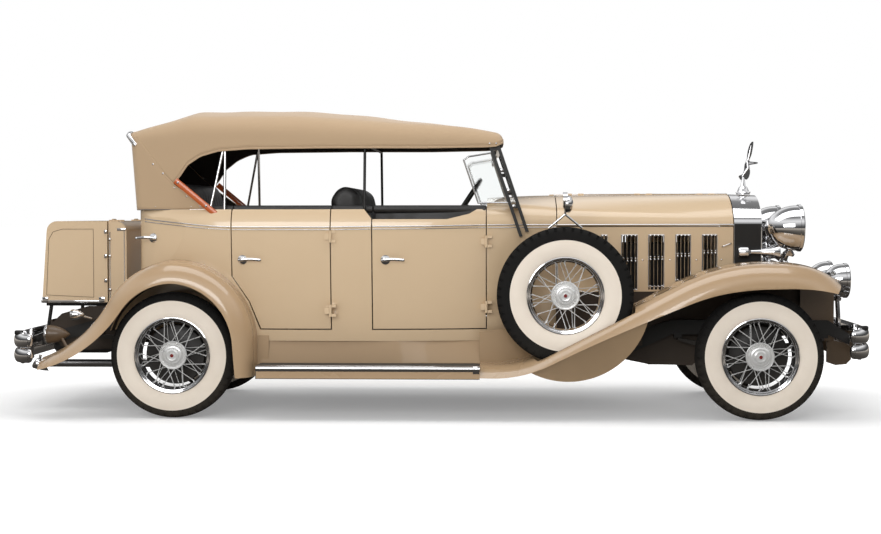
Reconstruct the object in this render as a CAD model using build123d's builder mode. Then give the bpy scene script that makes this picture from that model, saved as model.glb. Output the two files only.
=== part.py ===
from build123d import *
import os
from math import atan2, cos, degrees, hypot, radians, sin, tan

os.makedirs("parts", exist_ok=True)

# An open touring car. Millimetres, X forward, Y to the car's left, Z up, ground at Z = 0.
# The origin is on the ground, midway between the two bumpers.

# Running gear
wheelbase = 3700
rear_overhang = 1090
front_overhang = 730
track = 1485
tyre_radius = 400
tyre_half_width = 89
spare_tyre_radius = 430
rim_radius = 232
rim_lip_radius = 240
rim_half_width = 58
hub_radius = 46
hub_cap_radius = 88
spindle_radius = 22
running_fit = 0.05
drum_radius = 190
spoke_radius = 4
spoke_count = 20
kingpin_y = 600
kingpin_radius = 14
steering_arm_length = 160
ball_pin_radius = 10

rear_axle_x = rear_overhang - (rear_overhang + wheelbase + front_overhang) / 2
front_axle_x = rear_axle_x + wheelbase
wheel_y = track / 2
axle_z = tyre_radius

# Body
wall = 45
floor_bottom = 530
floor_thickness = 26
floor_top = floor_bottom + floor_thickness
seat_floor_bottom = 640
seat_floor_front = 740
sill_bottom = 486
belt_z = 1216
body_top = 1324
roll_inset = 38
door_gap = 7.5
door_bottom = 565
cowl_rear = 1992
hood_rear = 2438
hood_front = 3598
hood_gap = 6
hood_sheet = 14
hood_side_bottom = 790
crown_rear_z = 1420
crown_front_z = 1425
hood_front_half = 335
hinge_fit = 0.05
pin_radius = 5
eye_radius = 9
eye_half = 20


def station(distance):
    """X of a place measured forward from the rear axle."""
    return rear_axle_x + distance


def rod(start, end, radius, mode=Mode.ADD):
    """A round bar from one point to another."""
    direction = Vector(*end) - Vector(*start)
    with BuildSketch(Plane(origin=start, z_dir=direction)) as disc:
        Circle(radius)
    extrude(disc.sketch, amount=direction.length, mode=mode)


def block(x_range, y_range, z_range, mode=Mode.ADD):
    """A box between two values on each axis."""
    centre = [(low + high) / 2 for low, high in (x_range, y_range, z_range)]
    size = [high - low for low, high in (x_range, y_range, z_range)]
    with Locations(tuple(centre)):
        Box(*size, mode=mode)


def side_prism(points, y_low, y_high, corner=0, mode=Mode.ADD):
    """A side-view outline extruded across the car between two Y values."""
    with BuildSketch(Plane.XZ.offset(-y_high)) as outline:
        with BuildLine():
            Polyline(*points, close=True)
        make_face()
        if corner:
            fillet(outline.vertices(), radius=corner)
    extrude(outline.sketch, amount=y_high - y_low, mode=mode)


def finish(part, name):
    part.label = name
    export_step(part, f"parts/{name}.step")


# ---------------------------------------------------------------- body shell
# Columns: distance from rear axle, half width at the sill, half width at the belt
body_sections = [
    (-272, 560, 605),
    (150, 655, 730),
    (800, 700, 765),
    (1400, 692, 760),
    (1992, 612, 668),
    (2438, 468, 524),
]
side_bulge = 8


def lower_section(distance, sill_half, belt_half, inset=0, extra=0):
    """Body cross-section from the sill to the belt, with gently rounded sides."""
    low = sill_half - inset
    high = belt_half - inset
    with BuildSketch(Plane.YZ.offset(station(distance))) as section:
        with BuildLine():
            bottom = sill_bottom - extra
            middle = ((low + high) / 2 + side_bulge, (sill_bottom + belt_z) / 2)
            Line((-low, bottom), (low, bottom))
            Line((low, bottom), (low, sill_bottom + 1))
            ThreePointArc((low, sill_bottom + 1), middle, (high, belt_z))
            Line((high, belt_z), (-high, belt_z))
            ThreePointArc((-high, belt_z), (-middle[0], middle[1]), (-low, sill_bottom + 1))
            Line((-low, sill_bottom + 1), (-low, bottom))
        make_face()
    return section.sketch


def roll_section(distance, sill_half, belt_half, inset=0, extra=0):
    """Rolled edge from the belt up to the body's top."""
    high = belt_half - inset
    top = high - roll_inset
    with BuildSketch(Plane.YZ.offset(station(distance))) as section:
        with BuildLine():
            middle = (high - roll_inset * 0.3, (belt_z + body_top) / 2)
            Line((-high, belt_z), (high, belt_z))
            ThreePointArc((high, belt_z), middle, (top, body_top))
            Line((top, body_top), (top, body_top + 1 + extra))
            Line((top, body_top + 1 + extra), (-top, body_top + 1 + extra))
            Line((-top, body_top + 1 + extra), (-top, body_top))
            ThreePointArc((-top, body_top), (-middle[0], middle[1]), (-high, belt_z))
        make_face()
    return section.sketch


def plan_outline(inset, bottom, top):
    """Plan of the body with rounded rear corners."""
    first, second = body_sections[0], body_sections[1]
    rear = station(first[0]) + inset
    slope = (second[2] - first[2] + 12) / (second[0] - first[0])
    reach = 3200
    half = first[2] - inset
    with BuildPart() as plan:
        with BuildSketch(Plane.XY.offset(bottom)) as outline:
            with BuildLine():
                Polyline(
                    (rear, -half),
                    (rear, half),
                    (rear + reach, half + slope * reach),
                    (rear + reach, -half - slope * reach),
                    close=True,
                )
            make_face()
            fillet(outline.vertices().group_by(Axis.X)[0], radius=190 - inset)
        extrude(amount=top - bottom)
    return plan.part


def body_solid(inset, extra):
    with BuildPart() as body:
        loft([lower_section(*row, inset, extra) for row in body_sections])
        loft([roll_section(*row, inset, extra) for row in body_sections[:-1]])
        add(plan_outline(inset, sill_bottom - 200, body_top + 200), mode=Mode.INTERSECT)
    return body.part


body_outer = body_solid(0, 0)
body_inner = body_solid(wall, 60)
with BuildPart() as shell_builder:
    add(body_outer)
    add(body_inner, mode=Mode.SUBTRACT)
body_shell = shell_builder.part

# Door outlines in side view, distances from the rear axle
front_door_rear, front_door_front = 1270, 1985
rear_door_rear, rear_door_front = 374, 1000
front_door_top = 1262


def front_door_outline(grow):
    return [
        (station(front_door_rear) - grow, door_bottom - grow),
        (station(front_door_front) + grow, door_bottom - grow),
        (station(front_door_front) + grow, body_top + 200),
        (station(front_door_rear) - grow, body_top + 200),
    ]


def rear_door_outline(grow):
    return [
        (station(rear_door_rear) - grow, 900),
        (station(rear_door_rear) + 108 - grow, 740),
        (station(rear_door_rear) + 178 - grow, door_bottom - grow),
        (station(rear_door_front) + grow, door_bottom - grow),
        (station(rear_door_front) + grow, body_top + 200),
        (station(rear_door_rear) - grow, body_top + 200),
    ]


# The top of the front door and the scooped cowl edge ahead of it
scoop = [
    (station(1215), body_top + 300),
    (station(1215), body_top),
    (station(1266), front_door_top),
    (station(1740), front_door_top),
    (station(1880), 1296),
    (station(1992), 1362),
    (station(1992), body_top + 300),
]


def hinge_y(distance, belt_margin=12):
    """Y of a door hinge just outside the body side."""
    rows = body_sections
    for (x0, _, w0), (x1, _, w1) in zip(rows, rows[1:]):
        if x0 <= distance <= x1:
            return w0 + (w1 - w0) * (distance - x0) / (x1 - x0) + belt_margin
    return rows[-1][2]


with BuildPart() as opening_cut:
    side_prism(front_door_outline(door_gap), -900, 900)
    side_prism(rear_door_outline(door_gap), -900, 900)

def body_half(distance, z):
    """Half width of the body's side at a height."""
    for (x0, sill0, belt0), (x1, sill1, belt1) in zip(body_sections, body_sections[1:]):
        if x0 <= distance <= x1:
            along = (distance - x0) / (x1 - x0)
            sill = sill0 + (sill1 - sill0) * along
            belt = belt0 + (belt1 - belt0) * along
            rise = (z - sill_bottom) / (belt_z - sill_bottom)
            return sill + (belt - sill) * rise + 4 * side_bulge * rise * (1 - rise)
    return 0


def strap(hinge_at, side, low, high, reach):
    """Plate from a hinge pin back into the panel beside it; reach is its length along X."""
    inner = body_half(hinge_at, (low + high) / 2) - 20
    y_range = sorted((side * inner, side * (hinge_y(hinge_at) + 3)))
    x_range = sorted((station(hinge_at), station(hinge_at) + reach))
    block(x_range, y_range, (low, high))


def body_hinges(hinge_at, heights):
    """Fixed eyes and pins for the doors on both sides."""
    for side in (1, -1):
        x, y = station(hinge_at), side * hinge_y(hinge_at)
        for z in heights:
            for low in (z - eye_half - 18, z + eye_half + 0.5):
                rod((x, y, low), (x, y, low + 17.5), eye_radius)
                strap(hinge_at, side, low, low + 17.5, strap_length)
            rod((x, y, z - eye_half - 18), (x, y, z + eye_half + 18), pin_radius)


strap_length = 36
# Columns: name, outline, hinge distance, free edge distance, hinge heights
doors = [
    ("front", front_door_outline(0), front_door_front + door_gap / 2, front_door_rear, (704, 1120)),
    ("rear", rear_door_outline(0), rear_door_front + door_gap / 2, rear_door_rear, (684, 1153)),
]
for door_name, outline, hinge_at, free_edge, heights in doors:
    for side_name, side in (("left", 1), ("right", -1)):
        pivot_y = hinge_y(hinge_at)
        reach = hypot(hinge_at - free_edge, pivot_y - hinge_y(free_edge, 0)) + 0.5
        with BuildPart() as door:
            add(body_shell)
            side_prism(outline, min(0, side * 900), max(0, side * 900), mode=Mode.INTERSECT)
            side_prism(scoop, -900, 900, mode=Mode.SUBTRACT)
            with BuildSketch(Plane.XY.offset(sill_bottom)):
                with Locations((station(hinge_at), side * pivot_y)):
                    Circle(reach)
            extrude(amount=1200, mode=Mode.INTERSECT)
            for z in heights:
                x, y = station(hinge_at), side * pivot_y
                strap(hinge_at, side, z - eye_half, z + eye_half, -strap_length)
                rod((x, y, z - eye_half), (x, y, z + eye_half), eye_radius)
                rod((x, y, z - 60), (x, y, z + 60), pin_radius + hinge_fit, Mode.SUBTRACT)
        finish(door.part, f"door_{door_name}_{side_name}")

# Rear body: quarters and back panel, cut over the wheels
wheel_tub_radius = 456
tub_sheet = 7
tub_inner_y = 545
rear_body_front = 560
with BuildPart() as body_rear:
    add(body_shell)
    block((station(-400), station(rear_body_front)), (-900, 900), (0, 2000), mode=Mode.INTERSECT)
    add(opening_cut.part, mode=Mode.SUBTRACT)
    with BuildSketch(Plane.XZ):
        with Locations((station(0), axle_z)):
            Circle(wheel_tub_radius + tub_sheet)
    extrude(amount=900, both=True, mode=Mode.SUBTRACT)
finish(body_rear.part, "body_rear")

with BuildPart() as sills:
    add(body_shell)
    block((station(rear_body_front), station(cowl_rear)), (-900, 900), (0, 2000), mode=Mode.INTERSECT)
    add(opening_cut.part, mode=Mode.SUBTRACT)
    side_prism(scoop, -900, 900, mode=Mode.SUBTRACT)
    body_hinges(doors[1][2], doors[1][4])
finish(sills.part, "sills")


# ---------------------------------------------------------------- cowl and hood
def arch_points(half, spring, crown, corner):
    """Tangent point and mid points of a top made of a corner arc and a crown arc."""
    rise = crown - spring
    crown_radius = ((half - corner) ** 2 + rise**2 - corner**2) / (2 * (rise - corner))
    lean = atan2(half - corner, spring - (crown - crown_radius))
    tangent = (half - corner + corner * sin(lean), spring + corner * cos(lean))
    turn = radians(90) - lean
    corner_mid = (
        half - corner + corner * cos(turn / 2),
        spring + corner * sin(turn / 2),
    )
    return tangent, corner_mid


def arch_face(distance, half, spring, crown, corner, foot_half, foot):
    """Arched section standing on straight sides."""
    tangent, corner_mid = arch_points(half, spring, crown, corner)
    with BuildSketch(Plane.YZ.offset(station(distance))) as section:
        with BuildLine():
            Line((-foot_half, foot), (foot_half, foot))
            Line((foot_half, foot), (half, spring))
            ThreePointArc((half, spring), corner_mid, tangent)
            ThreePointArc(tangent, (0, crown), (-tangent[0], tangent[1]))
            ThreePointArc(
                (-tangent[0], tangent[1]), (-corner_mid[0], corner_mid[1]), (-half, spring)
            )
            Line((-half, spring), (-foot_half, foot))
        make_face()
    return section.sketch


# Columns: distance, half width, crown height, corner radius
cowl_sections = [
    (1992, 668, 1402, 150),
    (2200, 604, 1414, 150),
    (2438, 524, 1420, 130),
]


def cowl_top(inset):
    sections = [
        arch_face(at, half - inset, belt_z, crown - inset, corner - inset, half - inset, belt_z - 1)
        for at, half, crown, corner in cowl_sections
    ]
    with BuildPart() as top:
        loft(sections)
    return top.part


hood_hinge_z = 1426
cowl_wall = 30
firewall = 20
cowl_outer_top = cowl_top(0)
cowl_inner_top = cowl_top(cowl_wall)
with BuildPart() as cowl_cavity:
    add(body_inner)
    add(cowl_inner_top)
    block((station(1800), station(hood_rear - firewall)), (-900, 900), (0, 2000), mode=Mode.INTERSECT)
with BuildPart() as cowl:
    add(body_outer)
    block((station(cowl_rear), station(hood_rear)), (-900, 900), (0, belt_z), mode=Mode.INTERSECT)
    add(cowl_outer_top)
    add(cowl_cavity.part, mode=Mode.SUBTRACT)
    block((station(cowl_rear), station(hood_rear)), (-440, 440), (0, floor_top), mode=Mode.SUBTRACT)
    body_hinges(doors[0][2], doors[0][4])
    # centre rod of the hood's hinge
    rod((station(hood_rear - 6), 0, hood_hinge_z), (station(hood_front + hood_gap), 0, hood_hinge_z), 4)
    block((station(hood_rear - 30), station(hood_rear)), (-4, 4), (1400, hood_hinge_z))
finish(cowl.part, "cowl")

hood_rear_half = 524
hood_start = hood_rear + hood_gap


def hood_half(distance):
    share = (distance - hood_rear) / (hood_front - hood_rear)
    return hood_rear_half + (hood_front_half - hood_rear_half) * share


def hood_crown(distance):
    share = (distance - hood_rear) / (hood_front - hood_rear)
    return crown_rear_z + (crown_front_z - crown_rear_z) * share


def hood_solid(inset):
    sections = [
        arch_face(
            at,
            hood_half(at) - inset,
            belt_z,
            hood_crown(at) - inset,
            130 - inset - share * 25,
            hood_half(at) - inset,
            belt_z - 1,
        )
        for at, share in ((hood_start, 0), (hood_front, 1))
    ]
    with BuildPart() as hood:
        loft(sections)
    return hood.part


hood_outer = hood_solid(0)
hood_inner = hood_solid(hood_sheet)
hood_hinge_gap = 16
hood_crease_gap = 6
# Distances along the hood where hinge eyes start; each is 40 long
top_eyes = {1: (2520, 2980, 3480), -1: (2600, 3060, 3400)}
for side_name, side in (("left", 1), ("right", -1)):
    with BuildPart() as hood_top:
        add(hood_outer)
        add(hood_inner, mode=Mode.SUBTRACT)
        near, far = side * hood_hinge_gap / 2, side * 900
        block(
            (station(hood_rear), station(hood_front)),
            (min(near, far), max(near, far)),
            (belt_z, 1500),
            mode=Mode.INTERSECT,
        )
        for at in top_eyes[side]:
            ends = (station(at), 0, hood_hinge_z), (station(at + 40), 0, hood_hinge_z)
            rod(*ends, 7)
            leaf_y = sorted((side * 2, side * 22))
            block((station(at), station(at + 40)), leaf_y, (hood_hinge_z - 14, hood_hinge_z - 3))
            rod(*ends, 4 + hinge_fit, Mode.SUBTRACT)
    finish(hood_top.part, f"hood_top_{side_name}")

# Side panels, fixed to the body, with openings for the vents
side_top = belt_z - hood_crease_gap
vent_z = (802, 1158)
vent_slat = 7
# Columns: middle distance, width, number of slats
vents = [(2748, 40, 1), (2913, 104, 4), (3089, 102, 4), (3266, 98, 4), (3441, 98, 4)]
with BuildPart() as hood_sides:
    with BuildSketch(Plane.XY.offset(hood_side_bottom)):
        with BuildLine():
            Polyline(
                (station(hood_start), hood_half(hood_start)),
                (station(hood_front), hood_half(hood_front)),
                (station(hood_front), hood_half(hood_front) - hood_sheet),
                (station(hood_start), hood_half(hood_start) - hood_sheet),
                close=True,
            )
        make_face()
    extrude(amount=side_top - hood_side_bottom)
    for middle, width, _ in vents:
        x_range = (station(middle - width / 2), station(middle + width / 2))
        block(x_range, (250, 600), vent_z, mode=Mode.SUBTRACT)
    for middle, width, count in vents:
        for number in range(count):
            at = middle - width / 2 + width * (number + 0.5) / count
            y = hood_half(at) - hood_sheet / 2
            block((station(at) - vent_slat / 2, station(at) + vent_slat / 2), (y - 5, y + 3), (vent_z[0] - 4, vent_z[1] + 4))
    mirror(about=Plane.XZ)
finish(hood_sides.part, "hood_sides")

# ---------------------------------------------------------------- frame
rail_y = (370, 430)
# Columns: distance, bottom, top
rail_profile = [
    (-950, 430, 500),
    (-500, 540, 625),
    (330, 540, 625),
    (560, 400, 530),
    (2950, 400, 530),
    (3190, 512, 605),
    (4195, 512, 605),
    (4350, 440, 505),
]
cross_members = [
    (-930, 440, 490),
    (-420, 560, 610),
    (700, 490, 528),
    (1700, 400, 440),
    (2620, 400, 450),
    (4150, 520, 570),
]
board_top = 345
board_bottom = 300
board_outer_y = 920
board_inner_y = 705
board_rear = 548
board_front = 1950
board_brackets = (700, 1250, 1800)
rear_spring_y = (445, 505)
rear_spring_eye = 560
spring_eye_top = 505
front_spring_eye = 470
front_spring_top = 490
with BuildPart() as frame:
    outline = [(station(at), low) for at, low, _ in rail_profile]
    outline += [(station(at), high) for at, _, high in reversed(rail_profile)]
    side_prism(outline, rail_y[0], rail_y[1])
    for at in board_brackets:
        block((station(at - 20), station(at + 20)), (rail_y[1], 450), (board_bottom - 15, 430))
        block(
            (station(at - 20), station(at + 20)),
            (rail_y[1], board_outer_y - 30),
            (board_bottom - 15, board_bottom),
        )
    for at in (-rear_spring_eye, rear_spring_eye):
        block(
            (station(at - 25), station(at + 25)),
            (rail_y[1] - 20, rear_spring_y[1]),
            (spring_eye_top, spring_eye_top + 25),
        )
    for at in (wheelbase - front_spring_eye, wheelbase + front_spring_eye):
        block(
            (station(at - 25), station(at + 25)),
            rail_y,
            (front_spring_top, 530),
        )
    mirror(about=Plane.XZ)
    for at, low, high in cross_members:
        block((station(at - 40), station(at + 40)), (-rail_y[0], rail_y[0]), (low, high))
finish(frame.part, "frame")

axle_seat_z = 393
rear_seat_z = 450
boss_half = 35
with BuildPart() as axles:
    with BuildSketch(Plane.XZ):
        with Locations((rear_axle_x, axle_z)):
            Circle(45)
    extrude(amount=650, both=True)
    with Locations((rear_axle_x, 0, axle_z)):
        Sphere(140)
    for side in (1, -1):
        rod((rear_axle_x, side * 640, axle_z), (rear_axle_x, side * (wheel_y + 36), axle_z), spindle_radius)
        rod((rear_axle_x, side * 655, axle_z), (rear_axle_x, side * 663, axle_z), drum_radius - 8)
        low, high = sorted((side * rear_spring_y[0], side * rear_spring_y[1]))
        block((rear_axle_x - 50, rear_axle_x + 50), (low, high), (axle_z, rear_seat_z))
    with BuildSketch(Plane.YZ.offset(front_axle_x - 28)):
        with BuildLine():
            Polyline(
                (-kingpin_y, axle_z + boss_half),
                (-kingpin_y + 40, axle_z + boss_half),
                (-kingpin_y + 150, axle_seat_z),
                (kingpin_y - 150, axle_seat_z),
                (kingpin_y - 40, axle_z + boss_half),
                (kingpin_y, axle_z + boss_half),
                (kingpin_y, axle_z - boss_half),
                (kingpin_y - 40, axle_z - boss_half),
                (kingpin_y - 130, axle_z - boss_half - 30),
                (-kingpin_y + 130, axle_z - boss_half - 30),
                (-kingpin_y + 40, axle_z - boss_half),
                (-kingpin_y, axle_z - boss_half),
                close=True,
            )
        make_face()
    extrude(amount=56)
    for side in (1, -1):
        with BuildSketch(Plane.XY.offset(axle_z - boss_half)):
            with Locations((front_axle_x, side * kingpin_y)):
                Circle(32)
        extrude(amount=2 * boss_half)
        with BuildSketch(Plane.XY.offset(axle_z - boss_half)):
            with Locations((front_axle_x, side * kingpin_y)):
                Circle(kingpin_radius + running_fit)
        extrude(amount=2 * boss_half, mode=Mode.SUBTRACT)
finish(axles.part, "axles")


def leaf_spring(x, y_low, y_high, eye, top_end, top_mid, low_mid):
    """Leaf spring pack: thick in the middle, thin at both eyes."""
    with BuildSketch(Plane.XZ.offset(-y_high)) as leaf:
        with BuildLine():
            ThreePointArc((x - eye, top_end), (x, top_mid), (x + eye, top_end))
            Line((x + eye, top_end), (x + eye, top_end - 16))
            ThreePointArc((x + eye, top_end - 16), (x, low_mid), (x - eye, top_end - 16))
            Line((x - eye, top_end - 16), (x - eye, top_end))
        make_face()
    extrude(leaf.sketch, amount=y_high - y_low)


with BuildPart() as springs:
    leaf_spring(rear_axle_x, *rear_spring_y, rear_spring_eye, spring_eye_top, 500, rear_seat_z)
    leaf_spring(front_axle_x, *rail_y, front_spring_eye, front_spring_top, 440, axle_seat_z)
    mirror(about=Plane.XZ)
finish(springs.part, "springs")

with BuildPart() as engine:
    block((station(2560), station(3450)), (-200, 200), (450, 1100))
    block((station(1660), station(2560)), (-130, 130), (440, 526))
    rod((station(1661), 0, 484), (station(142), 0, 420), 36)
finish(engine.part, "engine")

with BuildPart() as fuel_tank:
    block((station(-890), station(-500)), (-365, 365), (375, 535))
    fillet(fuel_tank.edges().filter_by(Axis.Y), radius=40)
finish(fuel_tank.part, "fuel_tank")

exhaust_z = 300
exhaust_y = -300
with BuildPart() as exhaust:
    rod((station(2620), exhaust_y, exhaust_z), (station(-1000), exhaust_y, exhaust_z), 26)
    rod((station(1000), exhaust_y, exhaust_z), (station(1600), exhaust_y, exhaust_z), 78)
    for at, _, _ in (cross_members[3], cross_members[4]):
        block((station(at - 8), station(at + 8)), (exhaust_y - 8, exhaust_y + 8), (exhaust_z, 400))
finish(exhaust.part, "exhaust")

# ---------------------------------------------------------------- floor
seat_base_front = (1180, 1640)
seat_base_rear = (250, 700)
cushion_bottom = 700
with BuildPart() as floor:
    side_prism(
        [
            (station(-227), seat_floor_bottom),
            (station(seat_floor_front), seat_floor_bottom),
            (station(seat_floor_front), floor_bottom),
            (station(hood_rear - firewall), floor_bottom),
            (station(hood_rear - firewall), floor_top),
            (station(seat_floor_front + floor_thickness), floor_top),
            (station(seat_floor_front + floor_thickness), seat_floor_bottom + floor_thickness),
            (station(-227), seat_floor_bottom + floor_thickness),
        ],
        -800,
        800,
    )
    add(body_inner, mode=Mode.INTERSECT)
    for side in (1, -1):
        low, high = sorted((side * tub_inner_y, side * 900))
        with BuildSketch(Plane.XZ.offset(-high)):
            with Locations((station(0), axle_z)):
                Circle(wheel_tub_radius + tub_sheet)
        extrude(amount=high - low, mode=Mode.SUBTRACT)
        low, high = sorted((side * 640, side * 900))
        block((station(300), station(1000)), (low, high), (door_bottom - 5, 800), mode=Mode.SUBTRACT)
    block(
        (station(seat_base_front[0]), station(seat_base_front[1])),
        (-560, 560),
        (floor_top, cushion_bottom),
    )
    block(
        (station(seat_base_rear[0]), station(seat_base_rear[1])),
        (-520, 520),
        (seat_floor_bottom + floor_thickness, cushion_bottom),
    )
finish(floor.part, "floor")

# ---------------------------------------------------------------- seats
cushion_top = 860
with BuildPart() as cushions:
    block((station(1165), station(1690)), (-590, 590), (cushion_bottom, cushion_top))
    block((station(245), station(745)), (-530, 530), (cushion_bottom, cushion_top))
    fillet(cushions.edges().filter_by(Axis.Y).group_by(Axis.Z)[-1], radius=40)
finish(cushions.part, "cushions")

# Columns: distance, height
front_back = [(1165, 860.3), (1300, 860.3), (1189, 1336), (1145, 1443), (1081, 1470), (1016, 1436), (983, 1333)]
rear_back = [(105, 666.3), (244.7, 666.3), (244.7, 862), (95, 1352), (65, 1450), (20, 1492), (-30, 1450), (-64, 1352)]
with BuildPart() as seat_backs:
    side_prism([(station(x), z) for x, z in front_back], -600, 600)
    side_prism([(station(x), z) for x, z in rear_back], -540, 540)
finish(seat_backs.part, "seat_backs")

# ---------------------------------------------------------------- dashboard and controls
column_y = 380
wheel_centre = (1819, 1354)
column_slope = radians(33)
column_dir = (cos(column_slope), -sin(column_slope))
wheel_rim_radius = 215
column_top_gap = 18


def along_column(distance):
    return (
        station(wheel_centre[0]) + column_dir[0] * distance,
        column_y,
        wheel_centre[1] + column_dir[1] * distance,
    )


column_end = (hood_rear - firewall - wheel_centre[0]) / column_dir[0] + 4
dash_x = (2012, 2034)
with BuildPart() as dashboard:
    block((station(dash_x[0]), station(dash_x[1])), (-700, 700), (1090, 1420))
    add(cowl_cavity.part, mode=Mode.INTERSECT)
    with BuildSketch(Plane(origin=along_column(0), z_dir=(column_dir[0], 0, column_dir[1]))):
        Circle(23)
    extrude(amount=500, mode=Mode.SUBTRACT)
finish(dashboard.part, "dashboard")

with BuildPart() as steering_column:
    rod(along_column(column_top_gap), along_column(column_end), 22)
    add(cowl.part, mode=Mode.SUBTRACT)
    with BuildSketch(Plane(origin=along_column(column_top_gap), z_dir=(column_dir[0], 0, column_dir[1]))):
        Circle(10 + running_fit)
    extrude(amount=45, mode=Mode.SUBTRACT)
finish(steering_column.part, "steering_column")

rim_plane = Plane(origin=along_column(0), x_dir=(0, 1, 0), z_dir=(-column_dir[0], 0, -column_dir[1]))
with BuildPart() as steering_wheel:
    with BuildSketch(Plane(origin=along_column(0), x_dir=(column_dir[0], 0, column_dir[1]), z_dir=(0, 1, 0))):
        with Locations((0, wheel_rim_radius)):
            Circle(13)
    revolve(axis=Axis(along_column(0), (column_dir[0], 0, column_dir[1])))
    with BuildSketch(rim_plane.offset(-12)):
        Circle(34)
    extrude(amount=30)
    with BuildSketch(rim_plane.offset(-4)):
        with PolarLocations(0, 4, start_angle=45):
            with Locations((wheel_rim_radius / 2, 0)):
                Rectangle(wheel_rim_radius, 16)
    extrude(amount=8)
    with BuildSketch(rim_plane.offset(-55)):
        Circle(10)
    extrude(amount=50)
finish(steering_wheel.part, "steering_wheel")

with BuildPart() as levers:
    rod((station(1830), 0, floor_top), (station(1780), 0, 880), 8)
    with Locations((station(1780), 0, 880)):
        Sphere(22)
    rod((station(1900), 60, floor_top), (station(1860), 60, 820), 8)
    add(floor.part, mode=Mode.SUBTRACT)
finish(levers.part, "levers")

# ---------------------------------------------------------------- fenders
fender_crest = (wheelbase + 40, 990)
crest_back_radius = 1190
crest_front_radius = 620
fender_slope = radians(27)
tip_angle = radians(50)
foot_radius = 700
fender_outer_y = 925
fender_sheet = 8
# Columns: share of the path, depth of the lip, inner edge Y
front_fender_sections = [
    (0.0, 78, 500),
    (0.3, 92, 440),
    (0.6, 145, 400),
    (0.8, 160, 360),
    (1.0, 70, 360),
]


def fender_section(path, share, depth, inner):
    """Crescent strip across the fender, square to its path."""
    at = Plane(origin=path.position_at(share), x_dir=(0, 1, 0), z_dir=path.tangent_at(share))
    crest_y = 770
    with BuildSketch(at) as section:
        with BuildLine():
            ThreePointArc((inner, -25), ((inner + crest_y) / 2 - 40, -2), (crest_y, -6))
            ThreePointArc((crest_y, -6), (crest_y + 105, -34), (fender_outer_y, -depth))
            Line((fender_outer_y, -depth), (fender_outer_y - fender_sheet, -depth))
            ThreePointArc(
                (fender_outer_y - fender_sheet, -depth), (crest_y + 100, -41), (crest_y, -6 - fender_sheet)
            )
            ThreePointArc(
                (crest_y, -6 - fender_sheet),
                ((inner + crest_y) / 2 - 40, -2 - fender_sheet),
                (inner, -25 - fender_sheet),
            )
            Line((inner, -25 - fender_sheet), (inner, -25))
        make_face()
    return section.sketch


crest_x = station(fender_crest[0])
crest_z = fender_crest[1]
rise_end = (
    crest_x - crest_back_radius * sin(fender_slope),
    crest_z - crest_back_radius * (1 - cos(fender_slope)),
)
tip = (
    crest_x + crest_front_radius * sin(tip_angle),
    crest_z - crest_front_radius * (1 - cos(tip_angle)),
)
foot_z = board_top + 7
foot_rise = foot_radius * (1 - cos(fender_slope))
foot_end = (rise_end[0] - (rise_end[1] - foot_z - foot_rise) / tan(fender_slope), foot_z + foot_rise)
foot_start = (foot_end[0] - foot_radius * sin(fender_slope), foot_z)


def arc_point(centre_x, top_z, radius, angle):
    """Point on an arc whose top or bottom is at the given place."""
    return (centre_x + radius * sin(angle), top_z - radius * (1 - cos(angle)))


with BuildLine(Plane.XZ) as front_path:
    Line((station(board_front), foot_z), foot_start)
    ThreePointArc(foot_start, arc_point(foot_start[0], foot_z, -foot_radius, -fender_slope / 2), foot_end)
    Line(foot_end, rise_end)
    ThreePointArc(rise_end, arc_point(crest_x, crest_z, crest_back_radius, -fender_slope / 2), (crest_x, crest_z))
    ThreePointArc((crest_x, crest_z), arc_point(crest_x, crest_z, crest_front_radius, tip_angle / 2), tip)

spare_x = 2485
spare_z = 783
spare_y = 770
well_clear = 12
front_wall_y = 357
front_line = front_path.wires()[0]


def above_section(path, share, inner):
    """Everything over the middle of the fender's sheet, square to its path."""
    at = Plane(origin=path.position_at(share), x_dir=(0, 1, 0), z_dir=path.tangent_at(share))
    crest_y = 770
    middle = fender_sheet / 2
    with BuildSketch(at) as section:
        with BuildLine():
            start = (inner, -25 - middle)
            ThreePointArc(start, ((inner + crest_y) / 2 - 40, -2 - middle), (crest_y, -6 - middle))
            ThreePointArc((crest_y, -6 - middle), (crest_y + 60, -16 - middle), (crest_y + 110, -40 - middle))
            Line((crest_y + 110, -40 - middle), (crest_y + 110, pan_cut))
            Line((crest_y + 110, pan_cut), (inner, pan_cut))
            Line((inner, pan_cut), start)
        make_face()
    return section.sketch


# Pan round the foot of the spare wheel, hung under the fender
pan_cut = 330
pan_centre = (2500, 760)
pan_radius = 512
pan_wall = 8
pan_y = (661, 872)
with BuildPart() as pan_part:
    with BuildSketch(Plane.XZ.offset(-pan_y[1])):
        with Locations((station(pan_centre[0]), pan_centre[1])):
            Circle(pan_radius)
    extrude(amount=pan_y[1] - pan_y[0])
    with BuildSketch(Plane.XZ.offset(-pan_y[1] + pan_wall)):
        with Locations((station(pan_centre[0]), pan_centre[1])):
            Circle(pan_radius - pan_wall)
    extrude(amount=pan_y[1] - pan_y[0] - 2 * pan_wall, mode=Mode.SUBTRACT)
    side_prism(
        [
            (station(1900), 500),
            (station(2250), 600),
            (station(3100), 880),
            (station(3100), 1400),
            (station(1900), 1400),
        ],
        0,
        900,
        mode=Mode.SUBTRACT,
    )
with BuildPart() as above_fender:
    sweep(
        sections=[above_section(front_line, *row) for row in ((0.0, 500), (0.3, 440), (0.6, 400), (0.8, 360), (1.0, 360))],
        path=front_path.line,
        multisection=True,
    )
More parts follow.
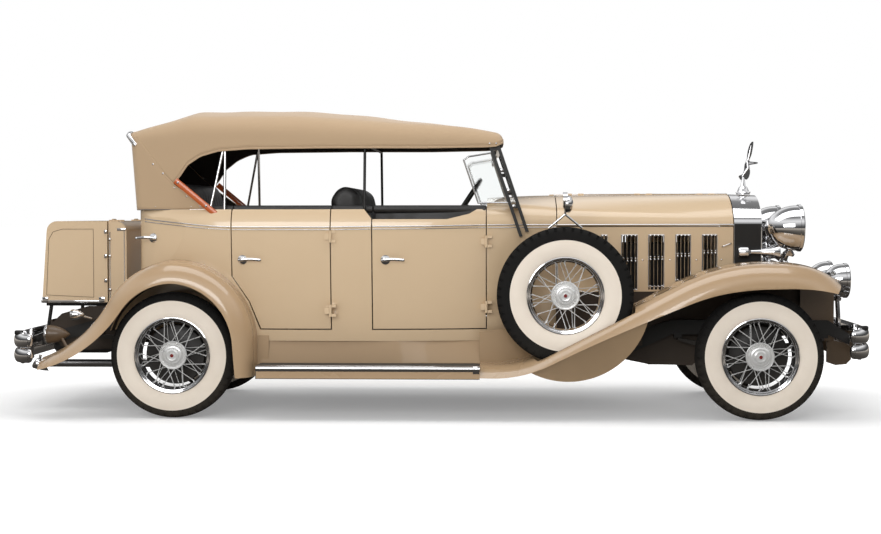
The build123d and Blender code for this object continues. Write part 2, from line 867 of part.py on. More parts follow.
with BuildPart() as front_fenders:
    sweep(
        sections=[fender_section(front_line, *row) for row in front_fender_sections],
        path=front_path.line,
        multisection=True,
    )
    add(pan_part.part - above_fender.part - cowl.part)
    # inner wall from the fender's inner edge down to the frame
    side_prism(
        [
            (station(hood_front + 6), 612),
            (station(hood_front + 6), 958),
            (station(3740), 962),
            (station(3880), 952),
            (station(4010), 908),
            (station(4130), 842),
            (station(4170), 800),
            (station(4205), 612),
        ],
        front_wall_y,
        front_wall_y + fender_sheet,
    )
    add(body_outer, mode=Mode.SUBTRACT)
    with BuildSketch(Plane.XY.offset(0)):
        with BuildLine():
            Polyline(
                (station(hood_rear - 40), 0),
                (station(hood_rear - 40), hood_half(hood_rear - 40) + 1),
                (station(hood_front), hood_front_half + 1),
                (station(hood_front), 0),
                close=True,
            )
        make_face()
    extrude(amount=2000, mode=Mode.SUBTRACT)
    # slot for the radiator's feet
    block((station(3645), station(3735)), (front_wall_y - 5, front_wall_y + 20), (685, 705), mode=Mode.SUBTRACT)
    # slot for the spare wheel
    tyre_slot = tyre_half_width + well_clear
    with BuildSketch(Plane.XZ.offset(-(spare_y + tyre_slot))):
        with Locations((station(spare_x), spare_z)):
            Circle(spare_tyre_radius + well_clear)
    extrude(amount=2 * tyre_slot, mode=Mode.SUBTRACT)
    mirror(about=Plane.XZ)
finish(front_fenders.part, "front_fenders")

# Rear fender crest and tail, distances from the rear axle
with BuildLine(Plane.XZ) as rear_path:
    ThreePointArc((station(-853), 372), (station(-600), 520), (station(-410), 740))
    ThreePointArc((station(-410), 740), (station(-225), 932), (station(20), 1002))
    ThreePointArc((station(20), 1002), (station(380), 842), (station(520), 470))
    Line((station(520), 470), (station(520), 268))
rear_line = rear_path.wires()[0]
rear_fender_sections = [(0.0, 60, 600), (0.2, 110, 560), (0.4, 135, 560), (0.65, 140, 560), (1.0, 100, 600)]


with BuildPart() as rear_fenders:
    sweep(
        sections=[fender_section(rear_line, *row) for row in rear_fender_sections],
        path=rear_path.line,
        multisection=True,
    )
    add(body_outer, mode=Mode.SUBTRACT)
    # wheel tub inside the body
    with BuildSketch(Plane.XZ.offset(-tub_inner_y)):
        with Locations((station(0), axle_z)):
            Circle(wheel_tub_radius + tub_sheet)
    extrude(amount=-tub_sheet)
    with BuildSketch(Plane.XZ.offset(-tub_inner_y)):
        with Locations((station(0), axle_z)):
            Circle(wheel_tub_radius + tub_sheet)
            Circle(wheel_tub_radius, mode=Mode.SUBTRACT)
    extrude(amount=-(640 - tub_inner_y))
    block((station(-900), station(900)), (tub_inner_y - 1, 660), (-100, 545), mode=Mode.SUBTRACT)
    mirror(about=Plane.XZ)
finish(rear_fenders.part, "rear_fenders")

with BuildPart() as running_boards:
    block((station(board_rear), station(board_front)), (board_inner_y, board_outer_y), (board_bottom, board_top))
    block((station(board_rear), station(board_front)), (board_outer_y - 16, board_outer_y), (265, board_top))
    mirror(about=Plane.XZ)
finish(running_boards.part, "running_boards")

# Splash aprons: beside the boards and below the hood sides
apron_sheet = 10
with BuildPart() as aprons:
    for at, top_y in ((board_rear, 684), (1400, 690), (board_front, 622)):
        with BuildSketch(Plane.YZ.offset(station(at))):
            with BuildLine():
                Polyline(
                    (board_inner_y - apron_sheet, board_bottom + 10),
                    (board_inner_y, board_bottom + 10),
                    (board_inner_y, board_top + 5),
                    (top_y, sill_bottom),
                    (top_y - apron_sheet, sill_bottom),
                    (board_inner_y - apron_sheet, board_top + 5),
                    close=True,
                )
            make_face()
    loft(ruled=True)
    with BuildSketch(Plane.XY.offset(floor_bottom)):
        with BuildLine():
            Polyline(
                (station(hood_rear + 1), hood_half(hood_rear)),
                (station(hood_front), hood_half(hood_front)),
                (station(hood_front), hood_half(hood_front) - apron_sheet),
                (station(hood_rear + 1), hood_half(hood_rear) - apron_sheet),
                close=True,
            )
        make_face()
    extrude(amount=hood_side_bottom - floor_bottom)
    add(frame.part, mode=Mode.SUBTRACT)
    mirror(about=Plane.XZ)
finish(aprons.part, "aprons")

# ---------------------------------------------------------------- radiator
shell_front = 3785
shell_rear = hood_front + hood_gap
shell_bottom = 700
shell_rim = 46


def shell_face(distance, inset, foot):
    return arch_face(
        distance,
        hood_front_half - inset,
        belt_z,
        crown_front_z - inset,
        105 - inset / 2,
        hood_front_half - inset - 8,
        foot,
    )


with BuildPart() as radiator_shell:
    loft([shell_face(shell_rear, 0, shell_bottom), shell_face(shell_front, 6, shell_bottom)])
    loft(
        [shell_face(shell_rear, shell_rim, shell_bottom - 1), shell_face(shell_front, shell_rim, shell_bottom - 1)],
        mode=Mode.SUBTRACT,
    )
    block((station(shell_rear), station(shell_front)), (-335, 335), (shell_bottom, shell_bottom + 40))
    # feet on the frame rails
    for side in (1, -1):
        foot_y = sorted((side * 300, side * 398))
        block((station(3650), station(3730)), foot_y, (shell_bottom - 10, shell_bottom))
        foot_y = sorted((side * 386, side * 398))
        block((station(3650), station(3730)), foot_y, (605, shell_bottom))
finish(radiator_shell.part, "radiator_shell")

with BuildPart() as radiator_core:
    loft(
        [
            shell_face(shell_rear + 30, shell_rim + 0.3, shell_bottom + 40.3),
            shell_face(shell_front - 40, shell_rim + 0.3, shell_bottom + 40.3),
        ]
    )
finish(radiator_core.part, "radiator_core")

cap_x = 3705
with BuildPart() as radiator_cap:
    with BuildSketch(Plane.XY.offset(crown_front_z - 12)):
        with Locations((station(cap_x), 0)):
            Circle(36)
    extrude(amount=52)
    add(radiator_shell.part, mode=Mode.SUBTRACT)
    rod((station(cap_x), 0, crown_front_z + 39), (station(cap_x) + 8, 0, 1600), 16)
    side_prism(
        [
            (station(3690), 1560),
            (station(3735), 1560),
            (station(3822), 1640),
            (station(3772), 1781),
            (station(3748), 1781),
            (station(3742), 1660),
        ],
        -9,
        9,
    )
finish(radiator_cap.part, "radiator_cap")

# ---------------------------------------------------------------- lamps
# Columns: back tip distance, rim distance, Y, Z, rim radius
lamp_table = [
    (3790, 4030, 385, 1201, 154),
    (4210, 4352, 245, 855, 117),
]
lens_depth = 12
with BuildPart() as lamp_shells:
    for tip_at, rim_at, y, z, radius in lamp_table:
        length = rim_at - tip_at
        with BuildSketch(Plane(origin=(station(tip_at), y, z), x_dir=(1, 0, 0), z_dir=(0, -1, 0))):
            with BuildLine():
                Line((0, 0), (length, 0))
                Line((length, 0), (length, radius))
                ThreePointArc((length, radius), (length * 0.4, radius * 0.75), (0, 0))
            make_face()
        revolve(axis=Axis((0, y, z), (1, 0, 0)))
    # stands down to the frame
    rod((station(3930), 334, 1080), (station(3930), 334, 540), 14)
    block((station(3915), station(3945)), (326, rail_y[0]), (530, 560))
    rod((station(4300), 245, 760), (station(4300), 245, 480), 14)
    block((station(4286), station(4314)), (240, rail_y[0]), (470, 494))
    mirror(about=Plane.XZ)
    rod((station(3930), -334, 1000), (station(3930), 334, 1000), 11)
finish(lamp_shells.part, "lamp_shells")

horn_z = 1050
with BuildPart() as horns:
    with BuildSketch(Plane(origin=(station(3640), 250, horn_z), x_dir=(1, 0, 0), z_dir=(0, -1, 0))):
        with BuildLine():
            Polyline((0, 0), (0, 34), (60, 34), (75, 15))
            ThreePointArc((75, 15), (190, 20), (262, 58))
            Polyline((262, 58), (268, 58), (268, 0), (0, 0))
        make_face()
    revolve(axis=Axis((0, 250, horn_z), (1, 0, 0)))
    rod((station(3870), 250, horn_z), (station(3924), 250, 1003), 8)
    add(radiator_shell.part, mode=Mode.SUBTRACT)
    add(radiator_core.part, mode=Mode.SUBTRACT)
    add(lamp_shells.part, mode=Mode.SUBTRACT)
    mirror(about=Plane.XZ)
finish(horns.part, "horns")

with BuildPart() as lamp_lenses:
    for tip_at, rim_at, y, z, radius in lamp_table:
        with BuildSketch(Plane(origin=(station(rim_at) + 0.3, y, z), x_dir=(1, 0, 0), z_dir=(0, -1, 0))):
            with BuildLine():
                Line((0, 0), (lens_depth * 2, 0))
                ThreePointArc((lens_depth * 2, 0), (lens_depth * 1.4, (radius - 8) * 0.6), (0, radius - 8))
                Line((0, radius - 8), (0, 0))
            make_face()
        revolve(axis=Axis((0, y, z), (1, 0, 0)))
    mirror(about=Plane.XZ)
finish(lamp_lenses.part, "lamp_lenses")

# ---------------------------------------------------------------- bumpers
bar_half_length = 800
bar_height = 84
bar_thickness = 14
# Columns: name, middle distance, end distance, frame end distance, forward sign, bars' bottoms
bumper_table = [
    ("front_bumper", wheelbase + front_overhang, 4392, 4350, 1, (385, 487)),
    ("rear_bumper", -rear_overhang, -1040, -950, -1, (350, 450)),
]
for bumper_name, middle, end, frame_end, forward, bar_heights in bumper_table:
    back = -forward * bar_thickness
    with BuildPart() as bumper:
        for low in bar_heights:
            with BuildSketch(Plane.XY.offset(low)):
                with BuildLine():
                    ThreePointArc(
                        (station(end), -bar_half_length), (station(middle), 0), (station(end), bar_half_length)
                    )
                    Line((station(end), bar_half_length), (station(end) + back, bar_half_length))
                    ThreePointArc(
                        (station(end) + back, bar_half_length),
                        (station(middle) + back, 0),
                        (station(end) + back, -bar_half_length),
                    )
                    Line((station(end) + back, -bar_half_length), (station(end), -bar_half_length))
                make_face()
            extrude(amount=bar_height)
        for y in (-400, 400):
            low, high = sorted((station(frame_end), station(middle) - forward * 18))
            block((low, high), (y - 22, y + 22), (430, 500))
            low, high = sorted((station(middle) - forward * 34, station(middle) - forward * 18))
            block((low, high), (y - 26, y + 26), (bar_heights[0], bar_heights[1] + bar_height))
    finish(bumper.part, bumper_name)

# ---------------------------------------------------------------- windshield
post_y = (606, 634)


def post_x(z):
    """Distance of the windshield posts' rear edge at a height."""
    return 2195 - (z - 1160) * 0.3374


header_z = (1700, 1730)
glass_offset = 62
post_width = 22
post_lugs = (1330, 1430, 1560)
with BuildPart() as windshield_frame:
    side_prism(
        [
            (station(post_x(1150)), 1150),
            (station(post_x(1150)) + post_width, 1150),
            (station(post_x(header_z[1])) + post_width, header_z[1]),
            (station(post_x(header_z[1])), header_z[1]),
        ],
        *post_y,
    )
    # glass frame's side bar, and the lugs between it and the post
    side_prism(
        [
            (station(post_x(1180)) + glass_offset - 12, 1180),
            (station(post_x(1180)) + glass_offset + 10, 1180),
            (station(post_x(header_z[1])) + glass_offset + 10, header_z[1]),
            (station(post_x(header_z[1])) + glass_offset - 12, header_z[1]),
        ],
        post_y[0],
        post_y[1] - 6,
    )
    for low in post_lugs:
        block(
            (station(post_x(low)) + 4, station(post_x(low)) + glass_offset - 4),
            (post_y[0] + 3, post_y[1] - 9),
            (low, low + 26),
        )
    side_prism(
        [
            (station(post_x(1200)) + glass_offset - 8, 1200),
            (station(post_x(1200)) + glass_offset + 10, 1200),
            (station(post_x(1446)) + glass_offset + 10, 1446),
            (station(post_x(1446)) + glass_offset - 8, 1446),
        ],
        -1,
        post_y[0] + 12,
    )
    side_prism(
        [
            (station(post_x(header_z[0])) + glass_offset - 40, header_z[0]),
            (station(post_x(header_z[0])) + glass_offset + 10, header_z[0]),
            (station(post_x(header_z[1])) + glass_offset + 10, header_z[1]),
            (station(post_x(header_z[1])) + glass_offset - 40, header_z[1]),
        ],
        -1,
        post_y[0] + 12,
    )
    mirror(about=Plane.XZ)
    add(cowl.part, mode=Mode.SUBTRACT)
    add(cowl_cavity.part, mode=Mode.SUBTRACT)
finish(windshield_frame.part, "windshield_frame")

with BuildPart() as windshield_glass:
    side_prism(
        [
            (station(post_x(1446)) + glass_offset - 3, 1446),
            (station(post_x(1446)) + glass_offset + 4, 1446),
            (station(post_x(header_z[0])) + glass_offset + 4, header_z[0]),
            (station(post_x(header_z[0])) + glass_offset - 3, header_z[0]),
        ],
        -post_y[0] + 0.3,
        post_y[0] - 0.3,
    )
    for y in (617, -623):
        side_prism(
            [
                (station(post_x(1683)) - 0.3, 1683),
                (station(1875), 1660),
                (station(1844), 1637),
                (station(1936), 1366),
                (station(post_x(1366)) - 0.3, 1366),
            ],
            y,
            y + 6,
        )
finish(windshield_glass.part, "windshield_glass")

# ---------------------------------------------------------------- top
# Columns: distance, half width, spring height, crown height, corner radius
top_sections = [
    (-318, 610, 1760, 1850, 60),
    (100, 668, 1800, 1985, 130),
    (760, 690, 1800, 1990, 130),
    (1450, 690, 1760, 1936, 120),
    (2085, 650, 1735, 1846, 100),
]
cloth = 11
top_foot = 1240


def top_solid(inset, ends):
    sections = []
    for index, (at, half, spring, crown, corner) in enumerate(top_sections):
        shift = ends if index == 0 else 0
        sections.append(
            arch_face(at + shift, half - inset, spring, crown - inset, corner - inset / 2, half - inset, top_foot)
        )
    with BuildPart() as top:
        loft(sections)
        # the back curtain leans in towards its foot
        side_prism(
            [
                (station(-400), 1200),
                (station(-261) + ends, 1200),
                (station(-318) + ends, 1765),
                (station(-400), 1765),
            ],
            -900,
            900,
            mode=Mode.SUBTRACT,
        )
    return top.part


valance_z = 1716
with BuildPart() as canopy:
    add(top_solid(0, 0))
    add(top_solid(cloth, cloth), mode=Mode.SUBTRACT)
    side_prism(
        [
            (station(3000), 0),
            (station(3000), valance_z + 10),
            (station(2090), valance_z + 18),
            (station(1980), valance_z + 8),
            (station(1593), valance_z),
            (station(994), valance_z + 2),
            (station(461), valance_z - 2),
            (station(272), 1699),
            (station(159), 1667),
            (station(73), 1611),
            (station(15), 1526),
            (station(-2), 1490),
            (station(286), 1262),
            (station(300), 0),
        ],
        -900,
        900,
        mode=Mode.SUBTRACT,
    )
    block((station(-600), station(600)), (-900, 900), (0, body_top + 1.3), mode=Mode.SUBTRACT)
finish(canopy.part, "canopy")

with BuildPart() as top_bows:
    for at, foot_y, top_z in ((318, 690, 1780), (1215, 705, 1740)):
        rod((station(at), foot_y, body_top + 1), (station(at), 650, top_z), 9)
    rod((station(226), 690, body_top + 1), (station(318), 650, 1780), 8)
    mirror(about=Plane.XZ)
    for at, z in ((318, 1780), (1215, 1740)):
        rod((station(at), -650, z), (station(at), 650, z), 9)
    add(body_shell, mode=Mode.SUBTRACT)
finish(top_bows.part, "top_bows")

with BuildPart() as wood_bows:
    rod((station(5), 668, 1503), (station(290), 746, 1283), 13)
    add(canopy.part, mode=Mode.SUBTRACT)
    add(body_shell, mode=Mode.SUBTRACT)
    mirror(about=Plane.XZ)
finish(wood_bows.part, "wood_bows")

# ---------------------------------------------------------------- trunk
trunk_rear = -938
trunk_lean = -900
trunk_front = -378
trunk_half = 460
trunk_front_half = 447
trunk_bottom = 711
trunk_top = 1250
trunk_wall = 12
lid_split = -497
lid_gap = 5
trunk_round = 70
lid_hinge_y = (-300, 300)
lid_hinge_z = 1258


def trunk_solid(inset):
    """Trunk with a leaning back and rounded top corners."""
    with BuildPart() as solid:
        side_prism(
            [
                (station(trunk_rear + inset), trunk_bottom + inset),
                (station(trunk_front - inset), trunk_bottom + inset),
                (station(trunk_front - inset), trunk_top - inset),
                (station(trunk_lean + inset), trunk_top - inset),
            ],
            inset - trunk_half,
            trunk_half - inset,
        )
        fillet(solid.edges().filter_by(Axis.Y).group_by(Axis.Z)[-1], radius=trunk_round - inset)
    return solid.part


trunk_outer = trunk_solid(0)
trunk_inner = trunk_solid(trunk_wall)
with BuildPart() as trunk_front_room:
    add(trunk_inner)
    block(
        (station(lid_split - 100), station(0)),
        (trunk_wall - trunk_front_half, trunk_front_half - trunk_wall),
        (0, 2000),
        mode=Mode.INTERSECT,
    )
with BuildPart() as trunk_box:
    add(trunk_outer)
    block(
        (station(lid_split), station(0)),
        (-trunk_front_half, trunk_front_half),
        (0, 2000),
        mode=Mode.INTERSECT,
    )
    add(trunk_front_room.part, mode=Mode.SUBTRACT)
    # seam lip under the hinges
    block(
        (station(lid_split), station(lid_split + 60)),
        (-trunk_front_half, trunk_front_half),
        (trunk_top - 24, trunk_top),
    )
    for y in lid_hinge_y:
        for low in (y - eye_half - 18, y + eye_half + 0.5):
            rod((station(lid_split), low, lid_hinge_z), (station(lid_split), low + 17.5, lid_hinge_z), 7)
            block(
                (station(lid_split), station(lid_split + 60)),
                (low, low + 17.5),
                (trunk_top - 12, lid_hinge_z),
            )
        rod(
            (station(lid_split), y - eye_half - 18, lid_hinge_z),
            (station(lid_split), y + eye_half + 18, lid_hinge_z),
            4,
        )
finish(trunk_box.part, "trunk_box")
with BuildPart() as trunk_lid:
    add(trunk_outer)
    add(trunk_inner, mode=Mode.SUBTRACT)
    block(
        (station(-1200), station(lid_split - lid_gap)),
        (-900, 900),
        (trunk_bottom + 6, 2000),
        mode=Mode.INTERSECT,
    )
    block(
        (station(lid_split - 60), station(lid_split - lid_gap)),
        (trunk_wall - trunk_half, trunk_half - trunk_wall),
        (trunk_top - 24, trunk_top),
    )
    for y in lid_hinge_y:
        ends = (station(lid_split), y - eye_half, lid_hinge_z), (station(lid_split), y + eye_half, lid_hinge_z)
        rod(*ends, 7)
        block(
            (station(lid_split - 30), station(lid_split - 3)),
            (y - eye_half, y + eye_half),
            (trunk_top - 30, lid_hinge_z),
        )
        rod(*ends, 4 + hinge_fit, Mode.SUBTRACT)
finish(trunk_lid.part, "trunk_lid")

rack_z = (690, 711)
with BuildPart() as trunk_rack:
    for y in (-380, 380):
        block((station(-930), station(-385)), (y - 14, y + 14), (rack_z[0], trunk_bottom))
        rod((station(-930), y, 498), (station(-900), y, rack_z[0] + 2), 12)
        rod((station(-520), y, 620), (station(-520), y, rack_z[0] + 2), 12)
    for at in (-900, -760, -620, -520, -400):
        block((station(at - 15), station(at + 15)), (-394, 394), (rack_z[0], trunk_bottom))
    add(frame.part, mode=Mode.SUBTRACT)
finish(trunk_rack.part, "trunk_rack")

tail_lamp = (-790, 640, 520)
# Columns: rim distance, Y, Z, length, rim radius
tail_lamp_table = [(-850, 640, 520, 150, 58)]
with BuildPart() as tail_lamps:
    for x, y, z, length, radius in tail_lamp_table:
        with BuildSketch(Plane(origin=(station(x), y, z), x_dir=(1, 0, 0), z_dir=(0, -1, 0))):
            with BuildLine():
                Line((0, 0), (0, radius))
                ThreePointArc((0, radius), (length * 0.6, radius * 0.72), (length, 0))
                Line((length, 0), (0, 0))
            make_face()
        revolve(axis=Axis((0, y, z), (1, 0, 0)))
    rod((station(tail_lamp[0]) + 20, tail_lamp[1], tail_lamp[2]), (station(-700), 705, 435), 10)
    add(rear_fenders.part, mode=Mode.SUBTRACT)
    mirror(about=Plane.XZ)
finish(tail_lamps.part, "tail_lamps")


# ---------------------------------------------------------------- wheels
def tyre(x, y, z, radius):
    """Tyre ring with rounded walls and a flat seat for the rim."""
    with BuildSketch(Plane(origin=(x, y, z), x_dir=(0, 1, 0), z_dir=(1, 0, 0))) as ring:
        with BuildLine():
            bead = rim_half_width - 0.3
            shoulder = tyre_half_width - 24
            wall_mid = (tyre_half_width, (rim_lip_radius + radius) / 2 - 6)
            Line((-bead, rim_radius), (bead, rim_radius))
            Line((bead, rim_radius), (bead, rim_lip_radius))
            ThreePointArc((bead, rim_lip_radius), wall_mid, (shoulder, radius - 13))
            ThreePointArc((shoulder, radius - 13), (0, radius), (-shoulder, radius - 13))
            ThreePointArc((-shoulder, radius - 13), (-wall_mid[0], wall_mid[1]), (-bead, rim_lip_radius))
            Line((-bead, rim_lip_radius), (-bead, rim_radius))
        make_face()
    revolve(ring.sketch, axis=Axis((x, y, z), (0, 1, 0)))


def wheel(x, y, z, outward, with_drum):
    """Wire wheel: rim, spokes, hub and cap; outward is +1 or -1 along Y."""
    axis = Axis((x, y, z), (0, 1, 0))
    with BuildSketch(Plane(origin=(x, y, z), x_dir=(0, outward, 0), z_dir=(outward, 0, 0))) as profile:
        with BuildLine():
            lip = rim_half_width + 7
            Polyline(
                (-lip, rim_lip_radius - 1),
                (-rim_half_width, rim_lip_radius - 1),
                (-rim_half_width, rim_radius - 0.3),
                (rim_half_width, rim_radius - 0.3),
                (rim_half_width, rim_lip_radius - 1),
                (lip, rim_lip_radius - 1),
                (lip, rim_radius - 14),
                (18, rim_radius - 26),
                (-18, rim_radius - 26),
                (-lip, rim_radius - 14),
                close=True,
            )
        make_face()
        bore = spindle_radius + running_fit
        back = -72 if with_drum else -40
        with BuildLine():
            Polyline(
                (back, bore),
                (38, bore),
                (38, 0),
                (78, 0),
                (74, 30),
                (58, hub_cap_radius - 26),
                (50, hub_cap_radius),
                (42, hub_cap_radius),
                (38, hub_radius),
                (back, hub_radius),
                close=True,
            )
        make_face()
        if with_drum:
            with BuildLine():
                Polyline(
                    (-72, drum_radius - 7),
                    (-36, drum_radius - 7),
                    (-36, hub_radius - 1),
                    (-28, hub_radius - 1),
                    (-28, drum_radius),
                    (-72, drum_radius),
                    close=True,
                )
            make_face()
    revolve(profile.sketch, axis=axis)
    step = 360 / spoke_count
    for index in range(spoke_count):
        angle = radians(index * step)
        twist = radians(26 if index % 2 else -26)
        row = outward * (34 if index % 2 else -22)
        start = (x + (hub_radius - 3) * cos(angle), y + row, z + (hub_radius - 3) * sin(angle))
        end = (
            x + (rim_radius - 22) * cos(angle + twist),
            y,
            z + (rim_radius - 22) * sin(angle + twist),
        )
        rod(start, end, spoke_radius)


wheel_table = [
    ("rear_left", rear_axle_x, 1),
    ("rear_right", rear_axle_x, -1),
    ("front_left", front_axle_x, 1),
    ("front_right", front_axle_x, -1),
]
for place, x, side in wheel_table:
    with BuildPart() as tyre_part:
        tyre(x, side * wheel_y, axle_z, tyre_radius)
    finish(tyre_part.part, f"tyre_{place}")
    with BuildPart() as wheel_part:
        wheel(x, side * wheel_y, axle_z, side, True)
    finish(wheel_part.part, f"wheel_{place}")

with BuildPart() as spare_tyres:
    tyre(station(spare_x), spare_y, spare_z, spare_tyre_radius)
    mirror(about=Plane.XZ)
finish(spare_tyres.part, "spare_tyres")
with BuildPart() as spare_wheels:
    wheel(station(spare_x), spare_y, spare_z, 1, False)
    carrier_z = hood_side_bottom - 35
    rod(
        (station(spare_x), hood_half(spare_x) - 5, carrier_z),
        (station(spare_x), spare_y - 39, carrier_z),
        spindle_radius,
    )
    add(aprons.part, mode=Mode.SUBTRACT)
    mirror(about=Plane.XZ)
finish(spare_wheels.part, "spare_wheels")

spare_top = spare_z + spare_tyre_radius
with BuildPart() as mirrors:
    for reach in (-1, 1):
        rod(
            (station(spare_x) + reach * 105, spare_y, spare_top - 8),
            (station(spare_x), spare_y, spare_top + 78),
            7,
        )
    add(spare_tyres.part, mode=Mode.SUBTRACT)
    rod((station(spare_x), spare_y, spare_top + 74), (station(spare_x), spare_y, spare_top + 150), 7)
    rod((station(spare_x) + 14, spare_y, spare_top + 165), (station(spare_x) - 14, spare_y, spare_top + 165), 52)
    mirror(about=Plane.XZ)
finish(mirrors.part, "mirrors")

# ---------------------------------------------------------------- steering
lug = 22
for side_name, side in (("left", 1), ("right", -1)):
    centre_y = side * kingpin_y
    with BuildPart() as knuckle:
        for low in (axle_z + boss_half + 5, axle_z - boss_half - 5 - lug):
            with BuildSketch(Plane.XY.offset(low)):
                with Locations((front_axle_x, centre_y)):
                    Circle(30)
                with Locations((front_axle_x, centre_y + side * 27)):
                    Rectangle(60, 54)
            extrude(amount=lug)
        with BuildSketch(Plane.XY.offset(axle_z - boss_half - 5 - lug)):
            with Locations((front_axle_x, centre_y)):
                Circle(kingpin_radius)
        extrude(amount=2 * (boss_half + 5 + lug))
        low, high = sorted((centre_y + side * 40, centre_y + side * 54))
        block(
            (front_axle_x - 30, front_axle_x + 30),
            (low, high),
            (axle_z - boss_half - 5 - lug, axle_z + boss_half + 5 + lug),
        )
        rod(
            (front_axle_x, centre_y + side * 54, axle_z),
            (front_axle_x, side * (wheel_y + 36), axle_z),
            spindle_radius,
        )
        rod(
            (front_axle_x, centre_y + side * 54, axle_z),
            (front_axle_x, centre_y + side * 62, axle_z),
            drum_radius - 8,
        )
        block(
            (front_axle_x - steering_arm_length - 18, front_axle_x),
            (centre_y - 16, centre_y + 16),
            (axle_z - boss_half - 5 - lug, axle_z - boss_half - 5),
        )
        rod(
            (front_axle_x - steering_arm_length, centre_y, axle_z - boss_half - 10),
            (front_axle_x - steering_arm_length, centre_y, axle_z - boss_half + 30),
            ball_pin_radius,
        )
    finish(knuckle.part, f"knuckle_{side_name}")

tie_x = front_axle_x - steering_arm_length
tie_z = axle_z - boss_half + 15
with BuildPart() as tie_rod:
    for side in (1, -1):
        rod((tie_x, side * kingpin_y, tie_z - 10), (tie_x, side * kingpin_y, tie_z + 10), 24)
    rod((tie_x, -kingpin_y, tie_z), (tie_x, kingpin_y, tie_z), 9)
    for side, bore in ((1, ball_pin_radius + running_fit), (-1, ball_pin_radius + 5)):
        with BuildSketch(Plane.XY.offset(tie_z - 30)):
            with Locations((tie_x, side * kingpin_y)):
                Circle(bore)
        extrude(amount=60, mode=Mode.SUBTRACT)
finish(tie_rod.part, "tie_rod")
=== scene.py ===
import math

import bmesh
import bpy
from mathutils import Matrix, Vector
from mathutils.bvhtree import BVHTree


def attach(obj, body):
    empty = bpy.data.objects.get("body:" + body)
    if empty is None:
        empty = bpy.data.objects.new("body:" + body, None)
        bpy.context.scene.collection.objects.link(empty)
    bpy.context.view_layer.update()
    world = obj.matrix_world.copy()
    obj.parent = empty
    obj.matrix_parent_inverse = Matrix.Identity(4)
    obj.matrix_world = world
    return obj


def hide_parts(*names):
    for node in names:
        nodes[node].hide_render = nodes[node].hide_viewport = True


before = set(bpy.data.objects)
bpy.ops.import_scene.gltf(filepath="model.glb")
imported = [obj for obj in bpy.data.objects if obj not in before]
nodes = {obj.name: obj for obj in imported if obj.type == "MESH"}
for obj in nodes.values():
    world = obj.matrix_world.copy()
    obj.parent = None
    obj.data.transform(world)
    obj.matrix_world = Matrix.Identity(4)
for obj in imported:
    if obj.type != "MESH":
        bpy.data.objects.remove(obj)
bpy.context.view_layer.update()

# Distances along the car are in mm forward from the rear axle, and at() turns them into X.
# All other sizes are in m. Y is positive on the car's left and Z is the height over the floor.
REAR_AXLE_X = -1.670
FRONT_AXLE_X = 2.030
# -1 is the right side and 1 the left
SIDES = (-1, 1)
NAMED_SIDES = (("left", 1), ("right", -1))


def at(distance_mm):
    """X of a distance along the car."""
    return REAR_AXLE_X + distance_mm / 1000


def tone(red, green, blue):
    """Screen colour from 0 to 255 as the linear values the sockets take."""
    steps = []
    for value in (red, green, blue):
        share = value / 255
        steps.append(share / 12.92 if share <= 0.04045 else ((share + 0.055) / 1.055) ** 2.4)
    return (*steps, 1.0)


# ------------------------------------------------------------------ material effects
def effect_group(name, inputs, outputs):
    """Empty node group with named sockets; inputs are (name, kind, default)."""
    group = bpy.data.node_groups.new(name, "ShaderNodeTree")
    for label, kind, default in inputs:
        socket = group.interface.new_socket(label, in_out="INPUT", socket_type=kind)
        socket.default_value = default
    for label, kind in outputs:
        group.interface.new_socket(label, in_out="OUTPUT", socket_type=kind)
    start = group.nodes.new("NodeGroupInput")
    end = group.nodes.new("NodeGroupOutput")
    return group, start, end


def node(tree, kind, **settings):
    """New shader node; a setting that starts with in_ is the value of a socket."""
    made = tree.nodes.new(kind)
    for key, value in settings.items():
        if key.startswith("in_"):
            made.inputs[key[3:].replace("_", " ")].default_value = value
        else:
            setattr(made, key, value)
    return made


def maths(tree, operation, first, second, clamp=False):
    """Result of a sum over two numbers or sockets, held between 0 and 1 if clamp is set."""
    made = tree.nodes.new("ShaderNodeMath")
    made.operation = operation
    made.use_clamp = clamp
    for index, value in enumerate((first, second)):
        if isinstance(value, (int, float)):
            made.inputs[index].default_value = value
        else:
            tree.links.new(value, made.inputs[index])
    return made.outputs[0]


def blend_colour(tree, factor, first, second):
    """Colour between two colours or sockets; a factor of 0 gives the first."""
    made = tree.nodes.new("ShaderNodeMix")
    made.data_type = "RGBA"
    for socket, value in ((made.inputs[0], factor), (made.inputs[6], first), (made.inputs[7], second)):
        if hasattr(value, "is_linked"):
            tree.links.new(value, socket)
        else:
            socket.default_value = value
    return made.outputs[2]


COLOUR, NUMBER, VECTOR = "NodeSocketColor", "NodeSocketFloat", "NodeSocketVector"
ROAD_DUST = (0.30, 0.24, 0.17, 1)
# Share of the dust that is lost with each m of height
DUST_FADE = 1.6


